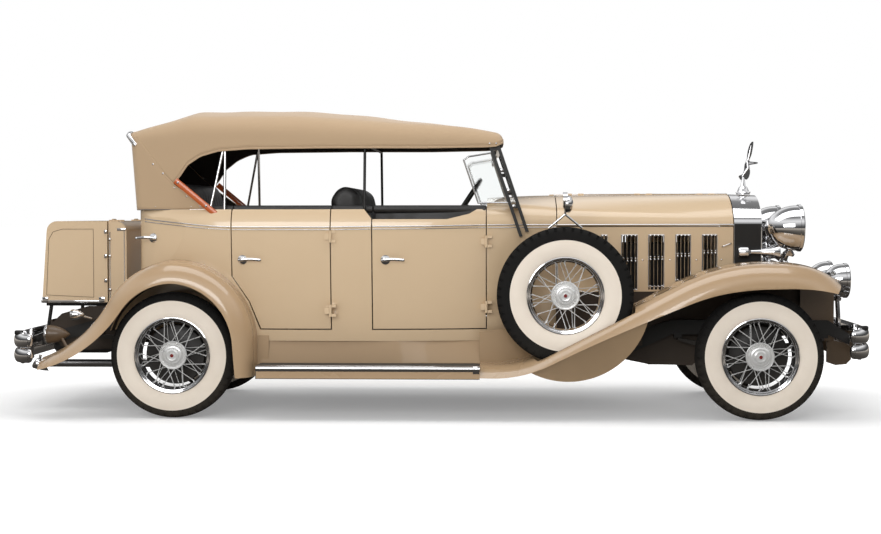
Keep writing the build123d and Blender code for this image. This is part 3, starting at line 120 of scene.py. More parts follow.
def weathered_group():
    """Cloudy tone change, fine specks and road dust near the ground."""
    group, start, end = effect_group(
        "Weathered finish",
        [
            ("Position", VECTOR, (0, 0, 0)),
            ("Colour", COLOUR, (0.5, 0.5, 0.5, 1)),
            ("Shade", COLOUR, (0.3, 0.3, 0.3, 1)),
            ("Cloud scale", NUMBER, 2.0),
            ("Cloud share", NUMBER, 0.3),
            ("Roughness", NUMBER, 0.3),
            ("Roughness spread", NUMBER, 0.08),
            ("Dust share", NUMBER, 0.1),
        ],
        [("Colour", COLOUR), ("Roughness", NUMBER), ("Height", NUMBER)],
    )
    cloud = node(group, "ShaderNodeTexNoise", in_Detail=5.0, in_Roughness=0.6)
    speck = node(group, "ShaderNodeTexNoise", in_Scale=900.0, in_Detail=2.0)
    link = group.links.new
    link(start.outputs["Position"], cloud.inputs["Vector"])
    link(start.outputs["Cloud scale"], cloud.inputs["Scale"])
    link(start.outputs["Position"], speck.inputs["Vector"])
    share = maths(group, "MULTIPLY", cloud.outputs[0], start.outputs["Cloud share"], True)
    toned = blend_colour(group, share, start.outputs["Colour"], start.outputs["Shade"])
    split = node(group, "ShaderNodeSeparateXYZ")
    link(start.outputs["Position"], split.inputs[0])
    low = maths(group, "SUBTRACT", 1.0, maths(group, "MULTIPLY", split.outputs[2], DUST_FADE), True)
    patchy = maths(group, "MULTIPLY", low, cloud.outputs[0])
    dust = maths(group, "MULTIPLY", patchy, start.outputs["Dust share"], True)
    link(blend_colour(group, dust, toned, ROAD_DUST), end.inputs["Colour"])
    spread = maths(group, "MULTIPLY", cloud.outputs[0], start.outputs["Roughness spread"])
    rough = maths(group, "ADD", start.outputs["Roughness"], spread)
    link(maths(group, "ADD", rough, maths(group, "MULTIPLY", dust, 0.5), True), end.inputs["Roughness"])
    link(speck.outputs[0], end.inputs["Height"])
    return group


def weave_group():
    """Crossing thread waves as a height, and slubs as a colour mask."""
    group, start, end = effect_group(
        "Thread weave",
        [("Position", VECTOR, (0, 0, 0)), ("Threads", NUMBER, 400.0)],
        [("Height", NUMBER), ("Slub", NUMBER)],
    )
    link = group.links.new
    heights = []
    for direction in ("X", "Y", "Z"):
        wave = node(
            group, "ShaderNodeTexWave", wave_type="BANDS", bands_direction=direction, in_Distortion=0.6
        )
        link(start.outputs["Position"], wave.inputs["Vector"])
        link(start.outputs["Threads"], wave.inputs["Scale"])
        heights.append(wave.outputs["Fac"])
    both = maths(group, "MAXIMUM", maths(group, "MAXIMUM", heights[0], heights[1]), heights[2])
    link(both, end.inputs["Height"])
    slub = node(group, "ShaderNodeTexNoise", in_Scale=26.0, in_Detail=7.0, in_Roughness=0.7)
    link(start.outputs["Position"], slub.inputs["Vector"])
    link(slub.outputs[0], end.inputs["Slub"])
    return group


def hide_group():
    """Leather grain: small cells with creases as a height, and worn patches as a mask."""
    group, start, end = effect_group(
        "Hide grain",
        [("Position", VECTOR, (0, 0, 0)), ("Cells", NUMBER, 260.0)],
        [("Height", NUMBER), ("Worn", NUMBER)],
    )
    link = group.links.new
    cells = node(group, "ShaderNodeTexVoronoi", feature="DISTANCE_TO_EDGE")
    link(start.outputs["Position"], cells.inputs["Vector"])
    link(start.outputs["Cells"], cells.inputs["Scale"])
    link(maths(group, "MULTIPLY", cells.outputs["Distance"], 3.0, True), end.inputs["Height"])
    worn = node(group, "ShaderNodeTexNoise", in_Scale=9.0, in_Detail=6.0)
    link(start.outputs["Position"], worn.inputs["Vector"])
    patches = maths(group, "SUBTRACT", worn.outputs[0], 0.45)
    link(maths(group, "MULTIPLY", patches, 3.0, True), end.inputs["Worn"])
    return group


WEATHERED = weathered_group()
WEAVE = weave_group()
HIDE = hide_group()


def new_material(name):
    """Material with its tree, its main shader and the place on the piece."""
    material = bpy.data.materials.new(name)
    material.use_nodes = True
    tree = material.node_tree
    shader = tree.nodes["Principled BSDF"]
    place = tree.nodes.new("ShaderNodeTexCoord").outputs["Object"]
    return material, tree, shader, place


def place_group(tree, group, place, **values):
    """Puts an effect into a material with this material's own values."""
    made = tree.nodes.new("ShaderNodeGroup")
    made.node_tree = group
    tree.links.new(place, made.inputs["Position"])
    for key, value in values.items():
        made.inputs[key.replace("_", " ")].default_value = value
    return made


def bump(tree, shader, height, strength, distance):
    """Raises the surface by a height mask."""
    made = tree.nodes.new("ShaderNodeBump")
    made.inputs["Strength"].default_value = strength
    made.inputs["Distance"].default_value = distance
    tree.links.new(height, made.inputs["Height"])
    tree.links.new(made.outputs[0], shader.inputs["Normal"])


def finish_material(name, colour, shade, rough, spread=0.08, metal=0.0, cloud=2.0, share=0.3, dust=0.1,
                    coat=0.0, speck=0.05, distance=0.0002, **sockets):
    """Painted, plated or moulded surface with clouding, dust and fine specks."""
    material, tree, shader, place = new_material(name)
    worn = place_group(
        tree, WEATHERED, place, Colour=colour, Shade=shade, Cloud_scale=cloud, Cloud_share=share,
        Roughness=rough, Roughness_spread=spread, Dust_share=dust,
    )
    tree.links.new(worn.outputs["Colour"], shader.inputs["Base Color"])
    tree.links.new(worn.outputs["Roughness"], shader.inputs["Roughness"])
    shader.inputs["Metallic"].default_value = metal
    shader.inputs["Coat Weight"].default_value = coat
    shader.inputs["Coat Roughness"].default_value = 0.06
    for key, value in sockets.items():
        shader.inputs[key.replace("_", " ")].default_value = value
    bump(tree, shader, worn.outputs["Height"], speck, distance)
    return material


def cloth_material(name, colour, shade, threads, strength, rough=0.85):
    """Woven cloth or pile with slubs and a soft sheen."""
    material, tree, shader, place = new_material(name)
    weave = place_group(tree, WEAVE, place, Threads=threads)
    toned = blend_colour(tree, weave.outputs["Slub"], colour, shade)
    # Thread valleys take the darker colour as painted shade, and the crests lighten a little
    darker = blend_colour(tree, maths(tree, "MULTIPLY", weave.outputs["Height"], 0.12), shade, toned)
    tree.links.new(darker, shader.inputs["Base Color"])
    shader.inputs["Roughness"].default_value = rough
    shader.inputs["Sheen Weight"].default_value = 0.25
    shader.inputs["Sheen Roughness"].default_value = 0.5
    bump(tree, shader, weave.outputs["Height"], strength, 0.0006)
    return material


def hide_material(name, colour, worn_colour):
    """Leather with grain and worn patches."""
    material, tree, shader, place = new_material(name)
    hide = place_group(tree, HIDE, place, Cells=260.0)
    toned = blend_colour(tree, maths(tree, "MULTIPLY", hide.outputs["Worn"], 0.5), colour, worn_colour)
    tree.links.new(toned, shader.inputs["Base Color"])
    matt = maths(tree, "ADD", maths(tree, "MULTIPLY", hide.outputs["Worn"], 0.2), 0.38)
    tree.links.new(matt, shader.inputs["Roughness"])
    bump(tree, shader, hide.outputs["Height"], 0.35, 0.0006)
    return material


def wood_material(name, colour, grain_colour):
    """Varnished wood with its grain along the car."""
    material, tree, shader, place = new_material(name)
    turn = node(tree, "ShaderNodeMapping")
    turn.inputs["Scale"].default_value = (6, 60, 60)
    tree.links.new(place, turn.inputs[0])
    grain = node(tree, "ShaderNodeTexNoise", in_Scale=3.0, in_Detail=8.0, in_Distortion=1.2)
    tree.links.new(turn.outputs[0], grain.inputs["Vector"])
    tree.links.new(blend_colour(tree, grain.outputs[0], colour, grain_colour), shader.inputs["Base Color"])
    matt = maths(tree, "ADD", maths(tree, "MULTIPLY", grain.outputs[0], 0.2), 0.2)
    tree.links.new(matt, shader.inputs["Roughness"])
    shader.inputs["Coat Weight"].default_value = 0.6
    bump(tree, shader, grain.outputs[0], 0.12, 0.0005)
    return material


def glass_material(name, tint, rough, alpha):
    """Clear glass with a faint film."""
    material, tree, shader, place = new_material(name)
    film = place_group(
        tree, WEATHERED, place, Colour=tint, Shade=(0.7, 0.75, 0.75, 1), Cloud_scale=5.0, Cloud_share=0.15,
        Roughness=rough, Roughness_spread=0.03, Dust_share=0.0,
    )
    tree.links.new(film.outputs["Colour"], shader.inputs["Base Color"])
    tree.links.new(film.outputs["Roughness"], shader.inputs["Roughness"])
    shader.inputs["Transmission Weight"].default_value = 1.0
    shader.inputs["IOR"].default_value = 1.25
    shader.inputs["Alpha"].default_value = alpha
    return material


# ------------------------------------------------------------------ materials
paint = finish_material(
    "Tan enamel", tone(208, 183, 150), tone(199, 172, 137), 0.22, 0.06, coat=0.7, cloud=1.6, share=0.5,
    dust=0.25, speck=0.04,
)
fender_paint = finish_material(
    "Brown tan enamel", tone(178, 150, 117), tone(162, 134, 101), 0.2, 0.06, coat=0.8, cloud=1.6, share=0.5,
    dust=0.3, speck=0.04,
)
# Darker copy of the fender paint: painted shade for the aprons and skirts recessed under the sills, and for
# the spare wheel's pan
shaded_apron_paint = finish_material("Apron enamel with painted shade", tone(172, 144, 110), tone(156, 129, 97), 0.5, 0.1, coat=0.15,
                              cloud=1.6, share=0.6, dust=0.25)
# Dark brown that paints the shade under the fenders, in the wheel wells and under the car
painted_shade = finish_material(
    "Painted underside shade", tone(56, 43, 30), tone(40, 30, 21), 0.55, 0.2, cloud=4.0, share=0.8, dust=0.2,
)
brown_paint = finish_material("Chassis brown", tone(88, 69, 48), tone(64, 50, 35), 0.4, coat=0.3)
plating = finish_material(
    "Bright plating", (0.78, 0.78, 0.79, 1), (0.66, 0.66, 0.68, 1), 0.05, 0.06, metal=1.0, cloud=6.0,
    share=0.4, dust=0.1, speck=0.03,
)
wire_plating = finish_material(
    "Spoke plating", (0.90, 0.90, 0.89, 1), (0.78, 0.78, 0.77, 1), 0.22, 0.1, metal=0.6, cloud=9.0,
    share=0.5, dust=0.1, speck=0.05,
)
lamp_bowl = finish_material(
    "Lamp bowl", (0.93, 0.93, 0.92, 1), (0.86, 0.86, 0.86, 1), 0.12, metal=1.0, cloud=5.0, speck=0.02,
)
satin_steel = finish_material(
    "Satin steel", (0.42, 0.42, 0.43, 1), (0.3, 0.29, 0.28, 1), 0.32, 0.15, metal=1.0, cloud=14.0,
)
black_enamel = finish_material(
    "Black enamel", tone(18, 17, 16), tone(30, 27, 24), 0.35, 0.2, cloud=5.0, share=0.6, dust=0.12,
)
cast_metal = finish_material(
    "Cast metal", tone(58, 56, 54), tone(36, 33, 30), 0.55, 0.2, cloud=12.0, share=0.8, dust=0.4, metal=0.4,
    speck=0.4, distance=0.001,
)
tread_rubber = finish_material(
    "Tread rubber", tone(20, 20, 20), tone(34, 32, 30), 0.8, 0.12, cloud=12.0, share=0.7, dust=0.15,
    speck=0.25, distance=0.0006, Specular_IOR_Level=0.15,
)
white_rubber = finish_material(
    "White sidewall", tone(234, 223, 209), tone(218, 204, 186), 0.55, 0.12, cloud=6.0, share=0.7, dust=0.25,
    speck=0.12,
)
mat_rubber = finish_material(
    "Ribbed rubber", tone(34, 33, 32), tone(54, 50, 46), 0.6, 0.15, cloud=10.0, share=0.6, dust=0.5,
    speck=0.3, distance=0.0006,
)
red_enamel = finish_material("Red enamel", tone(120, 22, 22), tone(80, 12, 14), 0.2, coat=0.6)
ruby_glass = finish_material("Ruby glass", tone(150, 14, 14), tone(90, 6, 8), 0.08, coat=1.0)
dial_face = finish_material("Dial face", tone(226, 218, 196), tone(190, 176, 148), 0.4, coat=0.3)
sheet_glass = glass_material("Sheet glass", (0.93, 0.96, 0.95, 1), 0.02, 0.35)
lens_glass = glass_material("Lens glass", (0.96, 0.97, 0.97, 1), 0.04, 0.6)
top_cloth = cloth_material("Top cloth", tone(188, 162, 131), tone(174, 148, 117), 420.0, 0.22)
lining_cloth = cloth_material("Top lining", tone(70, 58, 44), tone(48, 39, 30), 420.0, 0.2)
carpet_pile = cloth_material("Carpet pile", tone(58, 46, 38), tone(36, 28, 24), 700.0, 0.7, 0.95)
black_hide = hide_material("Black hide", tone(30, 29, 29), tone(58, 56, 54))
# Black hide lightened to grey: painted highlights on the rear seat's pleats
highlit_black_hide = hide_material("Black hide with painted highlights", tone(66, 66, 68), tone(104, 104, 106))
bow_wood = wood_material("Varnished ash", tone(204, 98, 32), tone(150, 66, 20))
dash_wood = wood_material("Walnut board", tone(96, 58, 34), tone(54, 30, 18))

NODE_FINISH = {
    "aprons": shaded_apron_paint, "axles": black_enamel, "body_rear": paint, "cowl": paint, "dashboard": dash_wood,
    "engine": cast_metal, "exhaust": satin_steel, "floor": carpet_pile, "frame": black_enamel,
    "front_bumper": plating, "front_fenders": fender_paint, "fuel_tank": black_enamel,
    "knuckle_left": cast_metal, "knuckle_right": cast_metal, "lamp_lenses": lens_glass,
    "lamp_shells": plating, "levers": plating, "mirrors": plating, "radiator_cap": plating,
    "radiator_core": black_enamel, "radiator_shell": plating, "rear_bumper": plating,
    "rear_fenders": fender_paint, "running_boards": mat_rubber, "sills": paint, "springs": cast_metal,
    # the tail lamp shells are brown as a painted reflection of the body in their plating
    "steering_column": black_enamel, "steering_wheel": black_enamel, "tail_lamps": brown_paint,
    "tie_rod": cast_metal, "top_bows": plating, "trunk_box": paint, "trunk_lid": paint,
    "trunk_rack": black_enamel, "windshield_frame": plating, "windshield_glass": sheet_glass,
    "wood_bows": bow_wood, "canopy": top_cloth, "cushions": black_hide, "seat_backs": black_hide,
    "spare_tyres": tread_rubber, "spare_wheels": wire_plating, "horns": plating, "hood_sides": paint,
}


def finish_for(name):
    """Main finish of a CAD node; doors, hood tops, tyres and wheels go by their first word."""
    if name in NODE_FINISH:
        return NODE_FINISH[name]
    if name.startswith("door_") or name.startswith("hood_"):
        return paint
    return tread_rubber if name.startswith("tyre_") else wire_plating


for name, obj in nodes.items():
    obj.data.materials.clear()
    obj.data.materials.append(finish_for(name))


# Half the width between the frame's sides, and the reach of a wheel well round its axle
UNDER_HALF, WELL_REACH = 0.42, 0.75


def is_underside(name, middle, normal):
    """Faces of the fenders and aprons that are painted dark as shade: inner walls, insides of the wheel
    wells, undersides, and the aprons' part under the hood.
    """
    if name == "aprons":
        return middle.x > at(2430)
    wheel_x = FRONT_AXLE_X if name == "front_fenders" else REAR_AXLE_X
    if abs(middle.y) < UNDER_HALF:
        return True
    inward = Vector((wheel_x - middle.x, 0, 0.40 - middle.z))
    if inward.length < WELL_REACH:
        return normal.dot(inward.normalized()) > 0.25
    return normal.z < -0.25


def bow_slot(middle, _normal):
    """The bows over the back are bright and those ahead of them black."""
    return 1 if middle.x > at(330) else 0


def screen_slot(middle, normal):
    """The posts' plated side faces are black as a painted dark reflection, and the panel under the glass is
    tan.
    """
    if abs(normal.y) > 0.9 and abs(middle.y) > 0.55:
        return 1
    return 2 if abs(middle.y) < 0.60 and middle.z < 1.43 else 0


def repaint(name, finishes, choice):
    """Adds finishes to a CAD node; choice gives the slot of each face."""
    mesh = nodes[name].data
    for finish in finishes:
        mesh.materials.append(finish)
    for face in mesh.polygons:
        face.material_index = choice(face.center, face.normal)


def fender_choice(name):
    """Slots of a fender or an apron: outside, the underside as painted shade, and the pan of the spare wheel
    in the darker apron paint that stands for shade.
    """
    def choice(middle, normal):
        if is_underside(name, middle, normal):
            return 1
        in_pan = name == "front_fenders" and abs(normal.y) > 0.97 and middle.x < at(3050)
        return 2 if in_pan else 0

    return choice


repaint("top_bows", [black_enamel], bow_slot)
# the windshield posts' side faces are black as a painted dark reflection in their plating
repaint("windshield_frame", [black_enamel, paint], screen_slot)
for name in ("front_fenders", "rear_fenders", "aprons"):
    repaint(name, [painted_shade, shaded_apron_paint], fender_choice(name))


# ------------------------------------------------------------------ making pieces
def piece(name, mesh_data, finishes, body, smooth):
    """Turns a bmesh into a piece that rides on a body; finishes is one material or several.

    Edges sharper than smooth, in degrees, stay crisp, and 0 leaves every face flat.
    """
    finishes = finishes if isinstance(finishes, (list, tuple)) else [finishes]
    mesh = bpy.data.meshes.new(name)
    bmesh.ops.remove_doubles(mesh_data, verts=mesh_data.verts, dist=0.00001)
    bmesh.ops.recalc_face_normals(mesh_data, faces=mesh_data.faces)
    mesh_data.to_mesh(mesh)
    mesh_data.free()
    for finish in finishes:
        mesh.materials.append(finish)
    made = bpy.data.objects.new(name, mesh)
    bpy.context.scene.collection.objects.link(made)
    if smooth:
        for face in mesh.polygons:
            face.use_smooth = True
        mesh.set_sharp_from_angle(angle=math.radians(smooth))
    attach(made, body)
    return made


def lathe_into(mesh_data, profile, centre, axis, steps, closed=True, index=0):
    """Spins (along, radius) points round an axis through a centre; index is the material slot."""
    axis = Vector(axis).normalized()
    side = axis.orthogonal().normalized()
    centre = Vector(centre)
    points = [mesh_data.verts.new(centre + axis * along + side * radius) for along, radius in profile]
    pairs = list(zip(points, points[1:]))
    if closed:
        pairs.append((points[-1], points[0]))
    edges = [mesh_data.edges.new(pair) for pair in pairs]
    before = set(mesh_data.faces)
    bmesh.ops.spin(
        mesh_data, geom=points + edges, cent=centre, axis=axis, angle=math.tau, steps=steps, use_merge=True
    )
    for face in mesh_data.faces:
        if face not in before:
            face.material_index = index


def bar_into(mesh_data, start, end, radius, end_radius=None, sides=10):
    """Round bar between two points, closed at both ends."""
    start, end = Vector(start), Vector(end)
    run = end - start
    turn = run.to_track_quat("Z", "Y").to_matrix().to_4x4()
    place = Matrix.Translation((start + end) / 2) @ turn
    bmesh.ops.create_cone(
        mesh_data, cap_ends=True, segments=sides, radius1=radius,
        radius2=radius if end_radius is None else end_radius, depth=run.length, matrix=place,
    )


def block_into(mesh_data, corner, far_corner, edge, segments=2):
    """Box with rounded edges between any two opposite corners."""
    low = Vector([min(pair) for pair in zip(corner, far_corner)])
    high = Vector([max(pair) for pair in zip(corner, far_corner)])
    size = Matrix.Diagonal((*(high - low), 1))
    made = bmesh.ops.create_cube(mesh_data, size=1, matrix=Matrix.Translation((low + high) / 2) @ size)
    edges = {line for vert in made["verts"] for line in vert.link_edges}
    bmesh.ops.bevel(
        mesh_data, geom=list(edges), offset=edge, segments=segments, affect="EDGES", profile=0.5, material=-1
    )


def ball_into(mesh_data, centre, radius, squash=(1, 1, 1)):
    """Ball, or an oval one where squash is given."""
    place = Matrix.Translation(centre) @ Matrix.Diagonal((*squash, 1))
    bmesh.ops.create_uvsphere(mesh_data, u_segments=20, v_segments=12, radius=radius, matrix=place)


def smooth_path(points, per_span=6, closed=False):
    """Rounded run through the points, with per_span steps from each to the next."""
    points = [Vector(point) for point in points]
    run = []
    count = len(points)
    spans = count if closed else count - 1
    for index in range(spans):
        if closed:
            before, first, last, after = (points[(index + shift) % count] for shift in (-1, 0, 1, 2))
        else:
            before = points[max(index - 1, 0)]
            first, last = points[index], points[index + 1]
            after = points[min(index + 2, count - 1)]
        for step in range(per_span):
            t = step / per_span
            run.append(
                0.5 * (2 * first + (last - before) * t + (2 * before - 5 * first + 4 * last - after) * t * t
                       + (3 * first - before - 3 * last + after) * t * t * t)
            )
    if not closed:
        run.append(points[-1])
    return run


def sweep_into(mesh_data, path, section, up=(0, 0, 1), index=0, closed=False):
    """Bar along a path: a ring of (side, height) points at each place, bridged to the next ring."""
    path = [Vector(point) for point in path]
    up = Vector(up)
    last = len(path) - 1
    rings = []
    for number, point in enumerate(path):
        if closed:
            ahead = path[(number + 1) % len(path)] - path[number - 1]
        else:
            ahead = path[min(number + 1, last)] - path[max(number - 1, 0)]
        side = ahead.cross(up).normalized()
        lift = side.cross(ahead).normalized()
        rings.append([mesh_data.verts.new(point + side * across + lift * rise) for across, rise in section])
    loops = []
    for ring in rings:
        loops.append([mesh_data.edges.new((ring[i - 1], ring[i])) for i in range(len(ring))])
    pairs = list(zip(loops, loops[1:]))
    if closed:
        pairs.append((loops[-1], loops[0]))
    for first, second in pairs:
        made = bmesh.ops.bridge_loops(mesh_data, edges=first + second)
        for face in made["faces"]:
            face.material_index = index
    if not closed:
        for ring in (rings[0], rings[-1]):
            face = mesh_data.faces.new(ring)
            face.material_index = index


def round_section(radius, sides=8):
    """Round bar section."""
    angles = [math.tau * i / sides for i in range(sides)]
    return [(radius * math.cos(angle), radius * math.sin(angle)) for angle in angles]


def oval_section(radius, width, height, sides=8):
    """Round section widened and raised by two factors."""
    return [(across * width, rise * height) for across, rise in round_section(radius, sides)]


def flat_section(width, height, edge=0.3):
    """Bar section with its corners taken off."""
    w, h = width / 2, height / 2
    cut = min(w, h) * edge
    return [
        (-w + cut, -h), (w - cut, -h), (w, -h + cut), (w, h - cut), (w - cut, h), (-w + cut, h),
        (-w, h - cut), (-w, -h + cut),
    ]


def flipped(section, side):
    """Section for a sweep along one side of the car."""
    return [(side * across, rise) for across, rise in section]


def mirrored(points):
    """The same points on the other side of the car, in reverse order."""
    return [Vector((point.x, -point.y, point.z)) for point in reversed(points)]


def round_pairs(ring):
    """Neighbouring points of a closed ring."""
    return zip(ring, ring[1:] + ring[:1])


# ------------------------------------------------------------------ stage, light, camera
FLOOR_SIZE = 150
FLOOR_DROP = -0.001
WHITE = (1, 1, 1, 1)
# The floor glows for the camera, more so further from an oval round the car
GLOW_OVAL = (0.62, 1.0, 1.0)
GLOW_FROM, GLOW_NEAR, GLOW_GAIN = 2.0, 0.25, 0.34
# Mirrors see a dim floor near the car and a brighter one far off
MIRROR_FLOOR = (0.55, 0.50, 0.44, 1)
MIRROR_FROM, MIRROR_SLOPE, MIRROR_NEAR, MIRROR_GAIN = 3.2, 0.10, 0.12, 0.8
# Columns: height in the room as a share, level of grey
ROOM_STOPS = [(0.0, 0.50), (0.5, 0.52), (0.75, 0.80), (1.0, 0.95)]
MIRROR_STOPS = [
    (0.0, 0.30), (0.49, 0.10), (0.55, 0.06), (0.62, 0.24), (0.70, 0.62), (0.77, 1.00), (0.84, 0.80),
    (0.90, 0.30), (1.0, 0.18),
]
ROOM_POWER = 0.78


def mixed(tree, share, first, second):
    """Mixes two shaders; a share of 0 gives the first."""
    made = tree.nodes.new("ShaderNodeMixShader")
    for socket, value in zip(made.inputs, (share, first, second)):
        tree.links.new(value, socket)
    return made.outputs[0]


def direct_rays(tree, rays):
    """1 where the camera looks straight or through glass."""
    return maths(tree, "MAXIMUM", rays.outputs["Is Camera Ray"], rays.outputs["Is Transmission Ray"])


def reach_from_car(tree, stretch=(1.0, 1.0, 1.0)):
    """Distance of a place on the floor from the middle of the car."""
    scaled = tree.nodes.new("ShaderNodeVectorMath")
    scaled.operation = "MULTIPLY"
    scaled.inputs[1].default_value = stretch
    tree.links.new(tree.nodes.new("ShaderNodeTexCoord").outputs["Object"], scaled.inputs[0])
    reach = tree.nodes.new("ShaderNodeVectorMath")
    reach.operation = "LENGTH"
    tree.links.new(scaled.outputs[0], reach.inputs[0])
    return reach.outputs["Value"]


def floor_material():
    """White ground with one glow for the camera and another for mirrors."""
    material = bpy.data.materials.new("Studio floor")
    material.use_nodes = True
    tree = material.node_tree
    tree.nodes.clear()
    surface = node(tree, "ShaderNodeBsdfDiffuse", in_Color=(0.80, 0.80, 0.80, 1))
    glow = node(tree, "ShaderNodeEmission", in_Color=WHITE)
    none = node(tree, "ShaderNodeEmission", in_Strength=0.0)
    dim = node(tree, "ShaderNodeEmission", in_Color=MIRROR_FLOOR)
    far = maths(tree, "SUBTRACT", reach_from_car(tree, GLOW_OVAL), GLOW_FROM, True)
    glow_level = maths(tree, "ADD", maths(tree, "MULTIPLY", far, GLOW_GAIN), GLOW_NEAR)
    tree.links.new(glow_level, glow.inputs["Strength"])
    beyond = maths(tree, "SUBTRACT", reach_from_car(tree), MIRROR_FROM)
    ring = maths(tree, "MULTIPLY", beyond, MIRROR_SLOPE, True)
    dim_level = maths(tree, "ADD", maths(tree, "MULTIPLY", ring, MIRROR_GAIN), MIRROR_NEAR)
    tree.links.new(dim_level, dim.inputs["Strength"])
    rays = tree.nodes.new("ShaderNodeLightPath")
    lit = tree.nodes.new("ShaderNodeAddShader")
    tree.links.new(surface.outputs[0], lit.inputs[0])
    tree.links.new(mixed(tree, direct_rays(tree, rays), none.outputs[0], glow.outputs[0]), lit.inputs[1])
    seen = mixed(tree, rays.outputs["Is Glossy Ray"], lit.outputs[0], dim.outputs[0])
    tree.links.new(seen, tree.nodes.new("ShaderNodeOutputMaterial").inputs[0])
    return material


def studio_floor():
    """Ground that reaches past the edge of every view."""
    mesh_data = bmesh.new()
    bmesh.ops.create_grid(mesh_data, x_segments=8, y_segments=8, size=FLOOR_SIZE)
    mesh = bpy.data.meshes.new("Studio_floor")
    mesh_data.to_mesh(mesh)
    mesh_data.free()
    mesh.materials.append(floor_material())
    floor = bpy.data.objects.new("Studio_floor", mesh)
    bpy.context.scene.collection.objects.link(floor)
    floor.location.z = FLOOR_DROP


def grey_ramp(tree, height, stops):
    """Level of grey over the height in the room."""
    ramp = tree.nodes.new("ShaderNodeValToRGB")
    while len(ramp.color_ramp.elements) < len(stops):
        ramp.color_ramp.elements.new(0.5)
    for element, (share, level) in zip(ramp.color_ramp.elements, stops):
        element.position = share
        element.color = (level, level, level, 1)
    tree.links.new(height, ramp.inputs[0])
    return ramp.outputs[0]


def studio_room():
    """Soft light that is brighter overhead; mirrors see a darker band low in the room."""
    world = bpy.data.worlds.new("Studio")
    bpy.context.scene.world = world
    world.use_nodes = True
    tree = world.node_tree
    tree.nodes.clear()
    white = node(tree, "ShaderNodeBackground", in_Color=WHITE, in_Strength=1.0)
    room = node(tree, "ShaderNodeBackground", in_Strength=ROOM_POWER)
    in_mirrors = tree.nodes.new("ShaderNodeBackground")
    split = tree.nodes.new("ShaderNodeSeparateXYZ")
    tree.links.new(tree.nodes.new("ShaderNodeTexCoord").outputs["Generated"], split.inputs[0])
    height = maths(tree, "ADD", maths(tree, "MULTIPLY", split.outputs[2], 0.5), 0.5)
    tree.links.new(grey_ramp(tree, height, ROOM_STOPS), room.inputs[0])
    tree.links.new(grey_ramp(tree, height, MIRROR_STOPS), in_mirrors.inputs[0])
    rays = tree.nodes.new("ShaderNodeLightPath")
    around = mixed(tree, rays.outputs["Is Glossy Ray"], room.outputs[0], in_mirrors.outputs[0])
    seen = mixed(tree, direct_rays(tree, rays), around, white.outputs[0])
    tree.links.new(seen, tree.nodes.new("ShaderNodeOutputWorld").inputs[0])


def softbox(name, place, aim, size, power, in_mirrors=True):
    """Area light turned to a point."""
    light = bpy.data.lights.new(name, "AREA")
    light.shape = "RECTANGLE"
    light.size, light.size_y = size
    light.energy = power
    made = bpy.data.objects.new(name, light)
    bpy.context.scene.collection.objects.link(made)
    made.location = place
    made.rotation_euler = (Vector(aim) - Vector(place)).to_track_quat("-Z", "Y").to_euler()
    made.visible_glossy = in_mirrors


# Yaw, pitch and roll in degrees from a square look at the right side, and the focal length in mm
CAMERA_TURNS = (2.432, 1.969, -0.057)
CAMERA_PLACE = (0.432, -10.200, 1.285)
CAMERA_LENS = 61.24


def camera_set():
    """Camera on the right side of the car, a little ahead of its middle."""
    camera = bpy.data.cameras.new("View")
    made = bpy.data.objects.new("View", camera)
    bpy.context.scene.collection.objects.link(made)
    yaw, pitch, roll = (math.radians(angle) for angle in CAMERA_TURNS)
    ahead = Vector((-math.sin(yaw) * math.cos(pitch), math.cos(yaw) * math.cos(pitch), -math.sin(pitch)))
    made.location = CAMERA_PLACE
    turn = ahead.to_track_quat("-Z", "Y").to_matrix() @ Matrix.Rotation(roll, 3, "Z")
    made.rotation_euler = turn.to_euler()
    camera.sensor_width = 36
    camera.lens = CAMERA_LENS
    camera.clip_start, camera.clip_end = 0.1, 500
    bpy.context.scene.camera = made


studio_floor()
studio_room()
softbox("Overhead", (0.0, -1.0, 5.6), (0.0, -0.2, 0.6), (7.0, 3.2), 160)
softbox("Side_key", (-1.5, -8.5, 3.4), (0.0, 0.0, 0.7), (6.0, 2.4), 240)
softbox("Back_rim", (1.0, 6.5, 3.6), (0.0, 0.0, 0.8), (7.0, 2.0), 110, in_mirrors=False)
camera_set()
bpy.context.scene.view_settings.view_transform = "Standard"

# ------------------------------------------------------------------ wheels and tyres
AXLE_Z = 0.400
WHEEL_Y = 0.7425
TYRE_RADIUS = 0.400
TYRE_STEPS = 144
WHITE_BAND = (0.2425, 0.3488)
# Half section of a tyre: (across, level) from the bead up the wall, then over shoulder and ribs
TYRE_WALL = [
    (0.0577, 0.2320), (0.0577, 0.2400), (0.0660, 0.2440), (0.0740, 0.2520), (0.0830, 0.2750),
    (0.0878, 0.3050), (0.0872, 0.3300), (0.0852, 0.3480), (0.0855, 0.3500),
]
TYRE_TREAD = [
    (0.0815, 0.3650), (0.0760, 0.3800), (0.0665, 0.3885), (0.0560, 0.3935), (0.0500, 0.3950),
    (0.0480, 0.3880), (0.0420, 0.3880), (0.0400, 0.3968), (0.0260, 0.3988), (0.0240, 0.3910),
    (0.0180, 0.3910), (0.0160, 0.3997),
]
